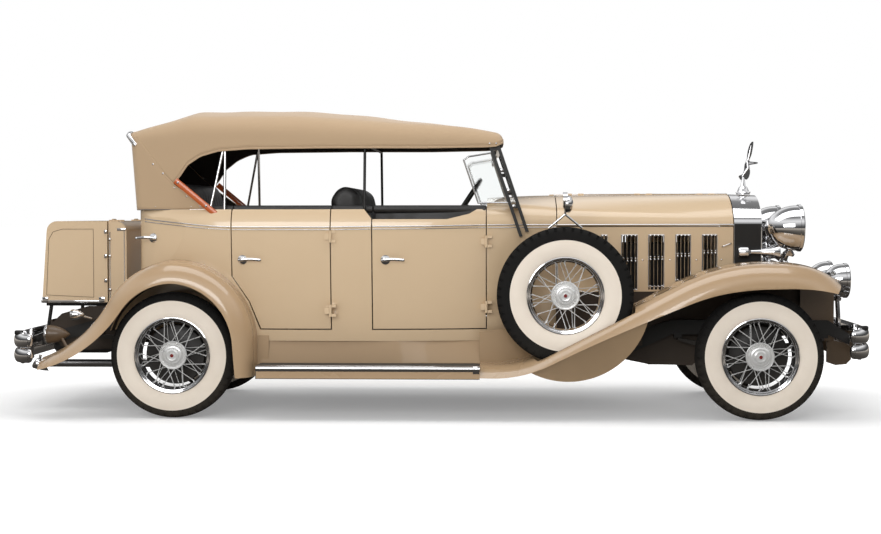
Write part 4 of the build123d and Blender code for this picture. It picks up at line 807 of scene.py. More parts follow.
# Sections of the rim, the hub and the brake drum: (out along the axle, level)
RIM_SECTION = [
    (0.0655, 0.2455), (0.0690, 0.2425), (0.0705, 0.2375), (0.0690, 0.2320), (0.0640, 0.2290),
    (0.0590, 0.2270), (0.0575, 0.2210), (0.0540, 0.2180), (0.0460, 0.2165), (0.0360, 0.2110),
    (0.0200, 0.2070), (-0.0200, 0.2070), (-0.0360, 0.2120), (-0.0560, 0.2180), (-0.0650, 0.2260),
    (-0.0640, 0.2300), (-0.0530, 0.2300), (-0.0400, 0.2240), (0.0400, 0.2240), (0.0540, 0.2310),
    (0.0577, 0.2318), (0.0577, 0.2400),
]
HUB_SECTION = [
    (-0.0400, 0.0225), (-0.0400, 0.0600), (-0.0300, 0.0640), (-0.0160, 0.0640), (-0.0120, 0.0500),
    (0.0200, 0.0480), (0.0240, 0.0720), (0.0300, 0.0790), (0.0390, 0.0790), (0.0400, 0.0880),
    (0.0430, 0.0905), (0.0470, 0.0895), (0.0500, 0.0850), (0.0490, 0.0760), (0.0460, 0.0740),
    (0.0460, 0.0690), (0.0560, 0.0660), (0.0600, 0.0620), (0.0640, 0.0540), (0.0640, 0.0500),
    (0.0610, 0.0480), (0.0610, 0.0440), (0.0700, 0.0400), (0.0740, 0.0320), (0.0730, 0.0240),
    (0.0700, 0.0220), (0.0700, 0.0150), (0.0770, 0.0125), (0.0775, 0.0001), (0.0380, 0.0001),
    (0.0380, 0.0225),
]
DRUM_SECTION = [
    (-0.0720, 0.1830), (-0.0720, 0.1900), (-0.0660, 0.1930), (-0.0600, 0.1900), (-0.0540, 0.1930),
    (-0.0480, 0.1900), (-0.0400, 0.1900), (-0.0290, 0.1860), (-0.0285, 0.1400), (-0.0240, 0.1300),
    (-0.0240, 0.0660), (-0.0390, 0.0640), (-0.0400, 0.1300), (-0.0400, 0.1800),
]
CAP_CENTRE_SECTION = [(0.0777, 0.0001), (0.0777, 0.0115), (0.0787, 0.0105), (0.0790, 0.0001)]
# Columns: spokes; out along the axle and level at the hub; out along the axle at the rim; lean; radius
SPOKE_RINGS = [(20, 0.038, 0.074, 0.016, 0.62, 0.0027), (16, -0.022, 0.058, -0.014, 0.50, 0.0022)]
SPOKE_END_LEVEL = 0.2080
NIPPLE_LENGTH = 0.020
STUDS, STUD_LEVEL = 10, 0.077
VALVE_ANGLE, VALVE_LEVEL = -1.9, 0.206


def tyre_piece(name, centre, radius, body):
    """Tyre with white walls, tread ribs and slots in its shoulders; a larger one has a higher tread."""
    centre = Vector(centre)
    crown = radius - TYRE_RADIUS
    outer = TYRE_WALL + [(across, level + crown) for across, level in TYRE_TREAD]
    inner = [(-across, level) for across, level in reversed(outer)]
    mesh_data = bmesh.new()
    lathe_into(mesh_data, outer + inner, centre, (0, 1, 0), TYRE_STEPS, closed=False)
    slots = []
    for face in mesh_data.faces:
        middle = face.calc_center_median() - centre
        level = math.hypot(middle.x, middle.z)
        turn = int((math.atan2(middle.z, middle.x) / math.tau + 1) * TYRE_STEPS) % TYRE_STEPS
        on_wall = abs(middle.y) > 0.060
        face.material_index = 1 if on_wall and WHITE_BAND[0] < level < WHITE_BAND[1] else 0
        if on_wall and 0.366 + crown < level < 0.392 + crown and turn % 3 == 0:
            slots.append(face)
    cut = bmesh.ops.inset_individual(mesh_data, faces=slots, thickness=0.0012, depth=-0.004)
    for face in cut["faces"]:
        face.material_index = 0
    return piece(name, mesh_data, [tread_rubber, white_rubber], body, 32)


def round_axle(angle, level):
    """Offset from a wheel's centre at an angle and a level."""
    return level * Vector((math.cos(angle), 0, math.sin(angle)))


def spokes_into(mesh_data, centre, axis):
    """Crossed spokes from the hub to the rim, each with a nipple."""
    for count, hub_out, hub_level, rim_out, lean, radius in SPOKE_RINGS:
        for number in range(count):
            sign = 1 if number % 2 else -1
            angle = math.tau * (number + 0.12 * sign) / count
            first = centre + axis * hub_out + round_axle(angle, hub_level)
            last = centre + axis * rim_out + round_axle(angle + sign * lean, SPOKE_END_LEVEL)
            nipple = last + (first - last).normalized() * NIPPLE_LENGTH
            bar_into(mesh_data, first, last, radius, sides=6)
            bar_into(mesh_data, nipple, last, radius * 1.2, radius * 1.8, sides=6)


def wire_wheel(name, centre, out, body, has_drum):
    """Rim, spokes, hub with studs, stepped cap and valve; out is +1 or -1 along Y."""
    centre = Vector(centre)
    axis = Vector((0, out, 0))
    mesh_data = bmesh.new()
    lathe_into(mesh_data, RIM_SECTION, centre, axis, 96, index=1)
    spokes_into(mesh_data, centre, axis)
    lathe_into(mesh_data, HUB_SECTION, centre, axis, 64)
    for number in range(STUDS):
        stud = centre + round_axle(math.tau * number / STUDS, STUD_LEVEL)
        bar_into(mesh_data, stud + axis * 0.046, stud + axis * 0.054, 0.0045, sides=6)
    valve = centre + round_axle(VALVE_ANGLE, VALVE_LEVEL)
    bar_into(mesh_data, valve, valve + axis * 0.030 + Vector((0, 0, 0.020)), 0.0035, sides=8)
    made = piece(name, mesh_data, [wire_plating, plating], body, 30)
    cap_centre = bmesh.new()
    lathe_into(cap_centre, CAP_CENTRE_SECTION, centre, axis, 24)
    piece(name + "_cap_centre", cap_centre, red_enamel, body, 35)
    if has_drum:
        drum = bmesh.new()
        lathe_into(drum, DRUM_SECTION, centre, axis, 64)
        piece(name + "_drum", drum, black_enamel, body, 35)
    return made


WHEEL_PLACES = [
    ("rear_left", REAR_AXLE_X, 1), ("rear_right", REAR_AXLE_X, -1),
    ("front_left", FRONT_AXLE_X, 1), ("front_right", FRONT_AXLE_X, -1),
]
for place_name, x, side in WHEEL_PLACES:
    centre = (x, side * WHEEL_Y, AXLE_Z)
    body = f"wheel_{place_name}"
    tyre = tyre_piece(f"Tyre_{place_name}", centre, TYRE_RADIUS, body)
    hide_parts(f"tyre_{place_name}")
    wheel = wire_wheel(f"Wire_wheel_{place_name}", centre, side, body, True)
    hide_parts(f"wheel_{place_name}")

SPARE_X = at(2485)
SPARE_Y = 0.770
SPARE_Z = 0.783
SPARE_RADIUS = 0.430
for side_name, side in NAMED_SIDES:
    centre = (SPARE_X, side * SPARE_Y, SPARE_Z)
    tyre = tyre_piece(f"Spare_tyre_{side_name}", centre, SPARE_RADIUS, "chassis")
    wheel = wire_wheel(f"Spare_wheel_{side_name}", centre, side, "chassis", False)
    if side_name == "left":
        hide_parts("spare_tyres")
        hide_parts("spare_wheels")

# ------------------------------------------------------------------ finding panel surfaces
TREES = {}


def surface_of(name):
    """Search tree over a CAD node's surface, built once."""
    if name not in TREES:
        mesh = nodes[name].data
        points = [vert.co.copy() for vert in mesh.vertices]
        faces = [list(polygon.vertices) for polygon in mesh.polygons]
        TREES[name] = BVHTree.FromPolygons(points, faces)
    return TREES[name]


def side_point(tree, x, z, side, out=0.0):
    """Point on the outermost surface at X and Z on one side, moved out by a distance."""
    hit, normal, _, _ = tree.ray_cast(Vector((x, side * 1.4, z)), Vector((0, -side, 0)))
    if hit is None:
        return None
    if normal.y * side < 0:
        normal = -normal
    return hit + normal * out


def along(table, x):
    """Value at x from a short table of (x, value) rows, in straight runs."""
    for (x0, v0), (x1, v1) in zip(table, table[1:]):
        if x0 <= x <= x1:
            return v0 + (v1 - v0) * (x - x0) / (x1 - x0)
    return table[0][1] if x < table[0][0] else table[-1][1]


# ------------------------------------------------------------------ belt moulding
# Columns: distance from the rear axle in mm, height in m
BELT_LINE = [
    (-262, 1.262), (-91, 1.242), (191, 1.214), (352, 1.205), (970, 1.204), (1262, 1.208), (1638, 1.210),
    (1975, 1.216), (2438, 1.2165),
]
BELT_STEP = 45
# Columns: height over the line, width, how far it stands out
BELT_RODS = [(0.0085, 0.0075, 0.0048), (-0.0085, 0.0055, 0.0040)]
# Columns: carrying node, body, start, end
BELT_RUNS = [
    ("body_rear", "chassis", -215, 364), ("door_rear_{}", "door_rear_{}", 376, 998),
    ("sills", "chassis", 1010, 1260), ("door_front_{}", "door_front_{}", 1272, 1983),
    ("cowl", "chassis", 1995, 2436),
]
for side_name, side in NAMED_SIDES:
    for number, (carrier, body, first, last) in enumerate(BELT_RUNS):
        carrier, body = carrier.format(side_name), body.format(side_name)
        tree = surface_of(carrier)
        mesh_data = bmesh.new()
        for shift, width, proud in BELT_RODS:
            path = []
            steps = max(4, int((last - first) / BELT_STEP))
            for step in range(steps + 1):
                distance = first + (last - first) * step / steps
                spot = side_point(tree, at(distance), along(BELT_LINE, distance) + shift, side, 0.0002)
                if spot:
                    path.append(spot)
            sweep_into(mesh_data, path, flipped(flat_section(proud * 2, width, 0.7), side))
        piece(f"Belt_moulding_{number}_{side_name}", mesh_data, plating, body, 50)

# moulding round the back of the body
BACK_HALF, BACK_CORNER, BACK_FROM, BACK_MIDDLE = 0.6085, 0.190, at(-212), at(-275)
mesh_data = bmesh.new()
for shift in (0.0085, -0.0085):
    path = [Vector((BACK_FROM, BACK_HALF + 0.0015, 1.2555 + shift))]
    for step in range(13):
        angle = math.pi / 2 * step / 12
        x = BACK_MIDDLE + BACK_CORNER - BACK_CORNER * math.sin(angle)
        if x <= BACK_FROM:
            path.append(Vector((x, BACK_HALF - BACK_CORNER + BACK_CORNER * math.cos(angle), 1.262 + shift)))
    path += [Vector((BACK_MIDDLE, 0.2, 1.262 + shift)), Vector((BACK_MIDDLE, 0.0, 1.262 + shift))]
    path += mirrored(path[:-1])
    sweep_into(mesh_data, path, flat_section(0.008, 0.0065, 0.7))
piece("Belt_moulding_back", mesh_data, plating, "chassis", 50)

# ------------------------------------------------------------------ door and quarter handles
ROSE_SECTION = [
    (-0.004, 0.0001), (-0.004, 0.030), (0.003, 0.030), (0.007, 0.024), (0.010, 0.012), (0.026, 0.010),
    (0.030, 0.0001),
]
# Columns: name, body, carrying node, pivot distance, height, lever length, lever direction
HANDLES = [
    ("Rear_door_handle", "door_rear_{}", "door_rear_{}", 440, 1.005, 0.115, 1),
    ("Front_door_handle", "door_front_{}", "door_front_{}", 1352, 1.005, 0.115, 1),
    ("Quarter_handle", "chassis", "body_rear", -150, 1.142, 0.105, -1),
]
for side_name, side in NAMED_SIDES:
    for label, body, carrier, distance, height, length, direction in HANDLES:
        body, carrier = body.format(side_name), carrier.format(side_name)
        base = side_point(surface_of(carrier), at(distance), height, side)
        mesh_data = bmesh.new()
        out = Vector((0, side, 0))
        lathe_into(mesh_data, ROSE_SECTION, base, out, 32)
        lever = [base + out * 0.028 + Vector((-0.018 * direction, 0, -0.002)), base + out * 0.032,
                 base + out * 0.034 + Vector((length * 0.45 * direction, 0, 0.004)),
                 base + out * 0.030 + Vector((length * direction, 0, -0.001))]
        sweep_into(mesh_data, smooth_path(lever), oval_section(0.0095, 0.55, 1, 12))
        ball_into(mesh_data, lever[-1], 0.0093, (1.0, 0.6, 1.0))
        ball_into(mesh_data, lever[0], 0.0090, (1.0, 0.6, 1.0))
        piece(f"{label}_{side_name}", mesh_data, plating, body, 45)

# ------------------------------------------------------------------ hood: crease moulding, vents, catches
HOOD_REAR, HOOD_FRONT = 2444, 3598
# Columns: distance, half width of the hood
HOOD_HALF = [(2438, 0.524), (3598, 0.335)]
# Columns: middle and width of each vent
VENTS = [(2748, 40), (2913, 104), (3089, 102), (3266, 98), (3441, 98)]
VENT_LOW, VENT_HIGH = 0.802, 1.158
SLAT_PITCH = 26


def hood_side(side, distance, z, out=0.0):
    """Place on the hood's side, moved out by a distance."""
    return Vector((at(distance), side * (along(HOOD_HALF, distance) + out), z))


def vent_into(vents, side, middle, width):
    """Raised frame round an opening, with two rows of bowed slats and a pin between them."""
    # the lower edge climbs towards the radiator
    low = VENT_LOW + max(0, middle - 3000) * 0.00022
    first, last = middle - width / 2, middle + width / 2
    corners = [(first, low), (last, low), (last, VENT_HIGH), (first, VENT_HIGH)]
    for start, end in round_pairs([hood_side(side, distance, z, 0.001) for distance, z in corners]):
        bar_into(vents, start, end, 0.0035, sides=8)
    count = max(1, round(width / SLAT_PITCH))
    joint = (low + VENT_HIGH) / 2 + 0.018
    for number in range(count):
        distance = first + width * (number + 0.5) / count
        for bottom, top in ((low + 0.006, joint - 0.009), (joint + 0.009, VENT_HIGH - 0.006)):
            blade = [
                hood_side(side, distance, bottom, 0.010),
                hood_side(side, distance, (bottom + top) / 2, 0.016), hood_side(side, distance, top, 0.010),
            ]
            sweep_into(vents, smooth_path(blade, 4), oval_section(0.0042, 0.8, 1.5), (0, side, 0), index=1)
            for spot in (blade[0], blade[-1]):
                ball_into(vents, spot, 0.0062, (1, 1, 1.2))
        pin = [hood_side(side, distance, joint + rise, 0.010) for rise in (-0.012, 0.012)]
        bar_into(vents, *pin, 0.0034, sides=8)


for side_name, side in NAMED_SIDES:
    mesh_data = bmesh.new()
    steps = 20
    run = (HOOD_FRONT - HOOD_REAR) / steps
    path = [hood_side(side, HOOD_REAR + run * i, 1.2235, 0.0012) for i in range(steps + 1)]
    sweep_into(mesh_data, path, flipped(flat_section(0.010, 0.010, 0.7), side))
    piece(f"Hood_crease_moulding_{side_name}", mesh_data, plating, f"hood_top_{side_name}", 50)

    vents = bmesh.new()
    for middle, width in VENTS:
        vent_into(vents, side, middle, width)
    piece(f"Hood_vent_slats_{side_name}", vents, [plating, black_enamel], "chassis", 50)

    catches = bmesh.new()
    for distance in (2830, 3001, 3178, 3354, 3520):
        ball_into(catches, hood_side(side, distance, 0.995, 0.002), 0.0048, (1, 0.6, 1))
    grip = [hood_side(side, 3520, 1.078, 0.004), hood_side(side, 3532, 1.084, 0.020),
            hood_side(side, 3572, 1.098, 0.020), hood_side(side, 3584, 1.102, 0.004)]
    sweep_into(catches, smooth_path(grip, 4), round_section(0.0045, 8))
    piece(f"Hood_catches_{side_name}", catches, plating, "chassis", 50)

mesh_data = bmesh.new()
sweep_into(
    mesh_data, [Vector((at(2434), 0, 1.4268)), Vector((at(3000), 0, 1.4288)), Vector((at(3603), 0, 1.4300))],
    round_section(0.0042, 10),
)
piece("Hood_centre_rod", mesh_data, plating, "chassis", 50)

# ------------------------------------------------------------------ cloth top
# Columns: distance in mm; half width, spring height, crown height and corner radius in m
TOP_SECTIONS = [
    (-318, 0.610, 1.760, 1.850, 0.060), (-120, 0.643, 1.779, 1.921, 0.100), (66, 0.665, 1.797, 1.983, 0.126),
    (98, 0.668, 1.800, 1.987, 0.130), (345, 0.680, 1.800, 1.990, 0.130), (711, 0.690, 1.800, 1.990, 0.130),
    (1053, 0.692, 1.784, 1.970, 0.128), (1450, 0.690, 1.760, 1.925, 0.120),
    (1835, 0.668, 1.743, 1.872, 0.110), (2094, 0.650, 1.728, 1.818, 0.080),
]
# Lower edge of the deck: the seam down from the rear bow, then the side opening
DECK_EDGE = [
    (-318, 1.797), (-248, 1.712), (-135, 1.602), (-22, 1.489), (15, 1.526), (73, 1.611), (159, 1.667),
    (272, 1.699), (461, 1.713), (994, 1.718), (1593, 1.716), (1980, 1.722), (2050, 1.727), (2094, 1.748),
]
# The left edge stands this much higher than the right one
FAR_LIFT = 0.032
# Length of the deck's nose that rolls under
NOSE_ROLL = 46
BOWS = (-318, 80, 400, 800, 1215, 1650, 2094)
CLOTH_THICK = 0.003


def eased(table, x):
    """Rounded run through a table's rows, all columns after the first."""
    last = len(table) - 1
    for index in range(last):
        if x <= table[index + 1][0] or index == last - 1:
            break
    rows = [table[max(index - 1, 0)], table[index], table[index + 1], table[min(index + 2, last)]]
    t = min(max((x - rows[1][0]) / (rows[2][0] - rows[1][0]), 0.0), 1.0)
    span = rows[2][0] - rows[1][0]
    values = []
    for column in range(1, len(rows[0])):
        before, first, second, after = (row[column] for row in rows)
        slope_in = (second - before) / (rows[2][0] - rows[0][0]) if rows[2][0] != rows[0][0] else 0.0
        slope_out = (after - first) / (rows[3][0] - rows[1][0]) if rows[3][0] != rows[1][0] else 0.0
        a, b = slope_in * span, slope_out * span
        values.append(
            (2 * t**3 - 3 * t**2 + 1) * first + (t**3 - 2 * t**2 + t) * a + (3 * t**2 - 2 * t**3) * second
            + (t**3 - t**2) * b
        )
    return values


def arch_points(half, spring, crown, corner, foot):
    """Half section (y, z) from the foot up the side, round the corner and over to the middle."""
    rise = crown - spring
    large = ((half - corner) ** 2 + rise**2 - corner**2) / (2 * (rise - corner))
    lean = math.atan2(half - corner, spring - crown + large)
    turn = math.pi / 2 - lean
    points = [(half, foot + (spring - foot) * i / 12) for i in range(12)]
    points += [(half - corner + corner * math.cos(turn * i / 10), spring + corner * math.sin(turn * i / 10))
               for i in range(10)]
    points += [(large * math.sin(lean * (1 - i / 24)), crown - large + large * math.cos(lean * (1 - i / 24)))
               for i in range(25)]
    return points


def even_run(points, count):
    """Points at equal steps along a polyline."""
    lengths = [0.0]
    for first, second in zip(points, points[1:]):
        lengths.append(lengths[-1] + math.dist(first, second))
    run = []
    index = 0
    for step in range(count):
        wanted = lengths[-1] * step / (count - 1)
        while index < len(points) - 2 and lengths[index + 1] < wanted:
            index += 1
        share = (wanted - lengths[index]) / max(lengths[index + 1] - lengths[index], 1e-9)
        run.append(tuple(a + (b - a) * share for a, b in zip(points[index], points[index + 1])))
    return run


def grid_into(mesh_data, rows, closed=False):
    """Skin over rows of points of equal length; closed joins the ends of each row."""
    grid = [[mesh_data.verts.new(point) for point in row] for row in rows]
    for first, second in zip(grid, grid[1:]):
        count = len(first)
        for column in range(count if closed else count - 1):
            ahead = (column + 1) % count
            mesh_data.faces.new((first[column], first[ahead], second[ahead], second[column]))
    return grid


def cloth_piece(name, mesh_data, offset):
    """Thin sheet of cloth with a dark lining; its area and length are measured but not used."""
    area = sum(face.calc_area() for face in mesh_data.faces)
    length = 0.0
    for axis in (0, 1):
        places = [vert.co[axis] for vert in mesh_data.verts]
        length = max(length, max(places) - min(places))
    made = piece(name, mesh_data, [top_cloth, lining_cloth], "chassis", 60)
    thick = made.modifiers.new("Thickness", "SOLIDIFY")
    thick.thickness = CLOTH_THICK
    thick.offset = offset
    thick.material_offset = 1
    thick.material_offset_rim = 0
    return made


def above_edge(points, edge):
    """Half section with all below the deck's edge cut off."""
    kept = []
    for first, second in zip(points, points[1:]):
        if not kept:
            if second[1] <= edge:
                continue
            share = max(0.0, (edge - first[1]) / (second[1] - first[1]))
            kept.append((first[0] + (second[0] - first[0]) * share, max(edge, first[1])))
        kept.append(second)
    return kept


def sagged(run, distance):
    """Cloth lies lower between the bows than over them, with faint drag folds along the sides."""
    start, end = next(pair for pair in zip(BOWS, BOWS[1:]) if pair[0] <= distance <= pair[1])
    hang = math.sin(math.pi * (distance - start) / (end - start)) ** 2
    hung = []
    for number, (y, z) in enumerate(run):
        share = number / (len(run) - 1)
        over = min(1.0, max(0.0, (share - 0.25) / 0.3))
        side_share = max(0.0, 1.0 - share / 0.35)
        fold = 0.0016 * math.sin(distance / 74 + 9 * share) + 0.0012 * math.sin(distance / 31 - 14 * share)
        pull = 0.0022 * math.sin(13 * share + distance / 420) * side_share
        inward = (0.0015 + fold * 0.5) * side_share + abs(pull)
        hung.append((y - inward, z - 0.0045 * hang * over - 0.0015 * over))
    return hung


def deck_half(distance, count, lift):
    """Half section of the cloth from its edge to the middle, with the edge lifted ahead of the seam."""
    half, spring, crown, corner = eased(TOP_SECTIONS, distance)
    # the nose rolls under over its last few millimetres
    roll = max(0.0, (distance - (DECK_END - NOSE_ROLL)) / NOSE_ROLL)
    inset = 0.034 * (1 - math.sqrt(max(0.0, 1 - roll * roll)))
    points = arch_points(half - inset * 0.4, spring - inset * 0.6, crown - inset, corner - inset * 0.6, 1.3)
    edge = along(DECK_EDGE, distance) + lift * min(1.0, max(0.0, (distance - 40) / 200))
    return sagged(even_run(above_edge(points, edge), count), distance)


DECK_START, DECK_END = TOP_SECTIONS[0][0], TOP_SECTIONS[-1][0]
DECK_ROWS = 96
NOSE_ROWS = 5
# Points from one edge of the deck to its middle
HALF_COUNT = 34
places = [
    DECK_START + (DECK_END - NOSE_ROLL - DECK_START) * step / DECK_ROWS
    for step in range(DECK_ROWS + 1)
]
places += [DECK_END - NOSE_ROLL + NOSE_ROLL * math.sin(math.pi / 2 * step / NOSE_ROWS)
           for step in range(1, NOSE_ROWS + 1)]
rows = []
for distance in places:
    right = [Vector((at(distance), -y, z)) for y, z in deck_half(distance, HALF_COUNT, 0.0)]
    left = [Vector((at(distance), y, z)) for y, z in deck_half(distance, HALF_COUNT, FAR_LIFT)[:-1]]
    rows.append(right + left[::-1])
deck_edges = {-1: [row[0].copy() for row in rows], 1: [row[-1].copy() for row in rows]}
front_edge = [point.copy() for point in rows[-1]]
rear_edge = [point.copy() for point in rows[0]]
mesh_data = bmesh.new()
grid_into(mesh_data, rows)
top_deck = cloth_piece("Top_deck", mesh_data, -1)
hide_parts("canopy")

# back curtain and quarters, from the front of one quarter round the back to the other
CURTAIN_FOOT = 1.3265
CURTAIN_ROWS = 26
CORNER_R = 0.055
# Places of the curtain's back and of its front edge, each at the foot and at the top
CURTAIN_BACK = (-271.5, -309)
CURTAIN_FRONT = (205, -24)
# Height of the seam at the front edge and at the corner
SEAM = (1.489, 1.784)
rear_arch = arch_points(*TOP_SECTIONS[0][1:], 1.3)


def between(ends, share):
    """Value part of the way from one end to the other."""
    return ends[0] + (ends[1] - ends[0]) * share


def arch_height(arch, y):
    """Height of an arch over a place across."""
    for (y0, z0), (y1, z1) in zip(arch, arch[1:]):
        if y1 <= y <= y0 and y0 != y1:
            return z0 + (z1 - z0) * (y0 - y) / (y0 - y1)


def curtain_half(share):
    """Points at one share of the height, from the quarter's front edge to the middle of the back."""
    back = between(CURTAIN_BACK, share)
    front = between(CURTAIN_FRONT, share)
    corner_at = back + CORNER_R * 1000
    points = []
    for step in range(16):
        distance = between((front, corner_at), step / 16)
        fold = 0.0012 * math.sin(distance / 33 + 3 * share) * math.sin(math.pi * share)
        y = eased(TOP_SECTIONS, distance)[0] - (0.002 + fold)
        points.append((distance, y, between((CURTAIN_FOOT, between(SEAM, step / 16)), share)))
    corner_y = eased(TOP_SECTIONS, corner_at)[0] - 0.002
    arch_top = arch_height(rear_arch, corner_y - CORNER_R)
    for step in range(9):
        angle = math.pi / 2 * step / 8
        y = corner_y - CORNER_R + CORNER_R * math.cos(angle)
        top = between((SEAM[1], arch_top), step / 8)
        distance = back + CORNER_R * 1000 * (1 - math.sin(angle))
        points.append((distance, y, between((CURTAIN_FOOT, top), share)))
    for step in range(1, 17):
        y = (corner_y - CORNER_R) * (1 - step / 16)
        top = arch_height(rear_arch, y) - 0.003
        drape = 2.2 * math.sin(math.pi * share) * (0.6 + 0.4 * math.sin(21 * y + 2))
        points.append((back + drape, y, between((CURTAIN_FOOT, top), share)))
    return [Vector((at(distance), -y, z)) for distance, y, z in points]


rows = []
for step in range(CURTAIN_ROWS + 1):
    right = curtain_half(step / CURTAIN_ROWS)
    rows.append(right + mirrored(right[:-1]))
mesh_data = bmesh.new()
grid_into(mesh_data, rows)
cloth_piece("Back_curtain", mesh_data, 1)
curtain_foot = [point.copy() for point in rows[0]]
quarter_edges = {-1: [row[0].copy() for row in rows], 1: [row[-1].copy() for row in rows]}

# bindings, seam piping, studs and fasteners
bindings = bmesh.new()
for side, edge in deck_edges.items():
    path = [point + Vector((0, side * 0.0005, 0.001)) for point in edge]
    sweep_into(bindings, path, oval_section(0.0042, 0.55, 1.5))
    path = [point + Vector((0, side * 0.0008, 0.021)) for point in edge if point.x > at(15)]
    sweep_into(bindings, path, round_section(0.0011, 6))
for side, edge in quarter_edges.items():
    sweep_into(bindings, edge, round_section(0.0038, 8), (1, 0, 0.3))
sweep_into(bindings, front_edge, oval_section(0.0042, 1.6, 1), (1, 0, 0))
sweep_into(bindings, rear_edge, round_section(0.0045, 8), (1, 0, 0))
piece("Top_bindings", bindings, top_cloth, "chassis", 60)

foot = bmesh.new()
path = [point + Vector((0, 0, -0.001)) for point in curtain_foot]
sweep_into(foot, path, oval_section(0.0032, 1, 1.6))
piece("Curtain_foot_rail", foot, plating, "chassis", 60)

studs = bmesh.new()
# Columns: distance, height, inward from the cloth, radius, squash
SIDE_STUDS = [
    (-152, 1.616, 0.001, 0.0075, 0.55), (-86, 1.556, 0.001, 0.0075, 0.55),
    (2010, 1.742, 0.0015, 0.0055, 0.5), (2052, 1.742, 0.0015, 0.0055, 0.5),
]
for distance, height, inward, radius, squash in SIDE_STUDS:
    for side in SIDES:
        y = eased(TOP_SECTIONS, distance)[0] - inward
        ball_into(studs, (at(distance), side * y, height), radius, (1, squash, 1))
for side, edge in quarter_edges.items():
    for share in (0.12, 0.5, 0.88):
        spot = edge[int(share * (len(edge) - 1))]
        ball_into(studs, spot + Vector((-0.022, side * 0.001, 0)), 0.0048, (1, 0.5, 1))
for number in range(9):
    point = curtain_foot[int((number + 0.5) / 9 * (len(curtain_foot) - 1))]
    ball_into(studs, point + Vector((-0.001, 0, 0.016)), 0.0042)
piece("Top_studs", studs, plating, "chassis", 60)

# bright trim over the back bow's corners and down the seam
trim = bmesh.new()
for side in SIDES:
    path = [Vector((at(-320), side * (y + 0.001), z + 0.002)) for y, z in reversed(rear_arch[17:24])]
    path += [point + Vector((0, side * 0.002, 0.001)) for point in deck_edges[side][1:3]]
    sweep_into(trim, smooth_path(path, 2), oval_section(0.0150, 0.7, 1, 12), (1, 0, 0.2))
piece("Back_bow_trim", trim, plating, "chassis", 60)

# small window in the back curtain
WINDOW_Y, WINDOW_Z, WINDOW_CORNER = 0.30, (1.52, 1.68), 0.04


def curtain_x(z):
    """X of the curtain's back at a height."""
    return at(between(CURTAIN_BACK, (z - CURTAIN_FOOT) / (1.83 - CURTAIN_FOOT)))


ring = []
for quarter, (right, up) in enumerate(((1, 1), (-1, 1), (-1, -1), (1, -1))):
    corner_y = right * (WINDOW_Y - WINDOW_CORNER)
    corner_z = WINDOW_Z[1] - WINDOW_CORNER if up > 0 else WINDOW_Z[0] + WINDOW_CORNER
    for step in range(7):
        angle = math.pi / 2 * (quarter + step / 6)
        ring.append((corner_y + WINDOW_CORNER * math.cos(angle), corner_z + WINDOW_CORNER * math.sin(angle)))
mesh_data = bmesh.new()
for shift, order in ((-0.0030, 1), (0.0060, -1)):
    pane = [mesh_data.verts.new((curtain_x(z) + shift, y, z)) for y, z in ring[::order]]
    mesh_data.faces.new(pane)
piece("Back_window_pane", mesh_data, sheet_glass, "chassis", 0)
mesh_data = bmesh.new()
for shift in (-0.0035, 0.0065):
    path = [Vector((curtain_x(z) + shift, y, z)) for y, z in ring]
    sweep_into(mesh_data, path, flat_section(0.005, 0.014, 0.6), (1, 0, 0), closed=True)
piece("Back_window_frame", mesh_data, plating, "chassis", 50)

# ------------------------------------------------------------------ seats
PLEAT_STEPS = 10


def outward(outline):
    """Directions out of a closed side outline, one per point."""
    count = len(outline)
    middle = sum(outline, Vector()) / count
    normals = []
    for index, point in enumerate(outline):
        run = outline[(index + 1) % count] - outline[index - 1]
        normal = Vector((run.z, 0, -run.x)).normalized()
        normals.append(normal if normal.dot(point - middle) > 0 else -normal)
    return normals


def soft_block(name, loop, half, roll, finish, pleats, relief, weight, replaced=()):
    """Stuffed piece: a closed side outline carried across the car, rounded at both ends, with pleats.

    Weight says how deep the pleats are at a place and its normal, from 0 to 1.
    """
    outline = smooth_path([Vector((at(distance), 0, z)) for distance, z in loop], 7, True)
    normals = outward(outline)
    steps = pleats * PLEAT_STEPS
    ends = [-half + roll * (1 - math.cos(math.pi / 2 * step / 8)) for step in range(9)]
    straight = [-half + roll + (2 * half - 2 * roll) * step / steps for step in range(1, steps)]
    rows = []
    for y in ends + straight + [-place for place in reversed(ends)]:
        t = max(0.0, (abs(y) - (half - roll)) / roll)
        inset = roll * (1 - math.sqrt(max(0.0, 1 - t * t)))
        phase = (y + half) / (2 * half) * pleats
        groove = abs(math.sin(math.pi * phase)) ** 0.55
        row = []
        for point, normal in zip(outline, normals):
            lift = relief * (groove - 1.0) * weight(point, normal)
            row.append(Vector((point.x, y, point.z)) - normal * (inset - lift))
        rows.append(row)
    mesh_data = bmesh.new()
    grid = grid_into(mesh_data, rows, closed=True)
    for ring in (grid[0], grid[-1]):
        mesh_data.faces.new(ring)
    made = piece(name, mesh_data, finish, "chassis", 75)
    if replaced:
        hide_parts(*replaced)
    return made


def back_pleats(point, normal):
    """Pleats fade out over the top roll and on the back."""
    return min(1.0, max(0.0, normal.x * 2.2 + 0.2)) * min(1.0, max(0.0, (1.43 - point.z) / 0.06))


def cushion_pleats(_point, normal):
    """Pleats on the top of a cushion only."""
    return min(1.0, max(0.0, normal.z * 2.0))


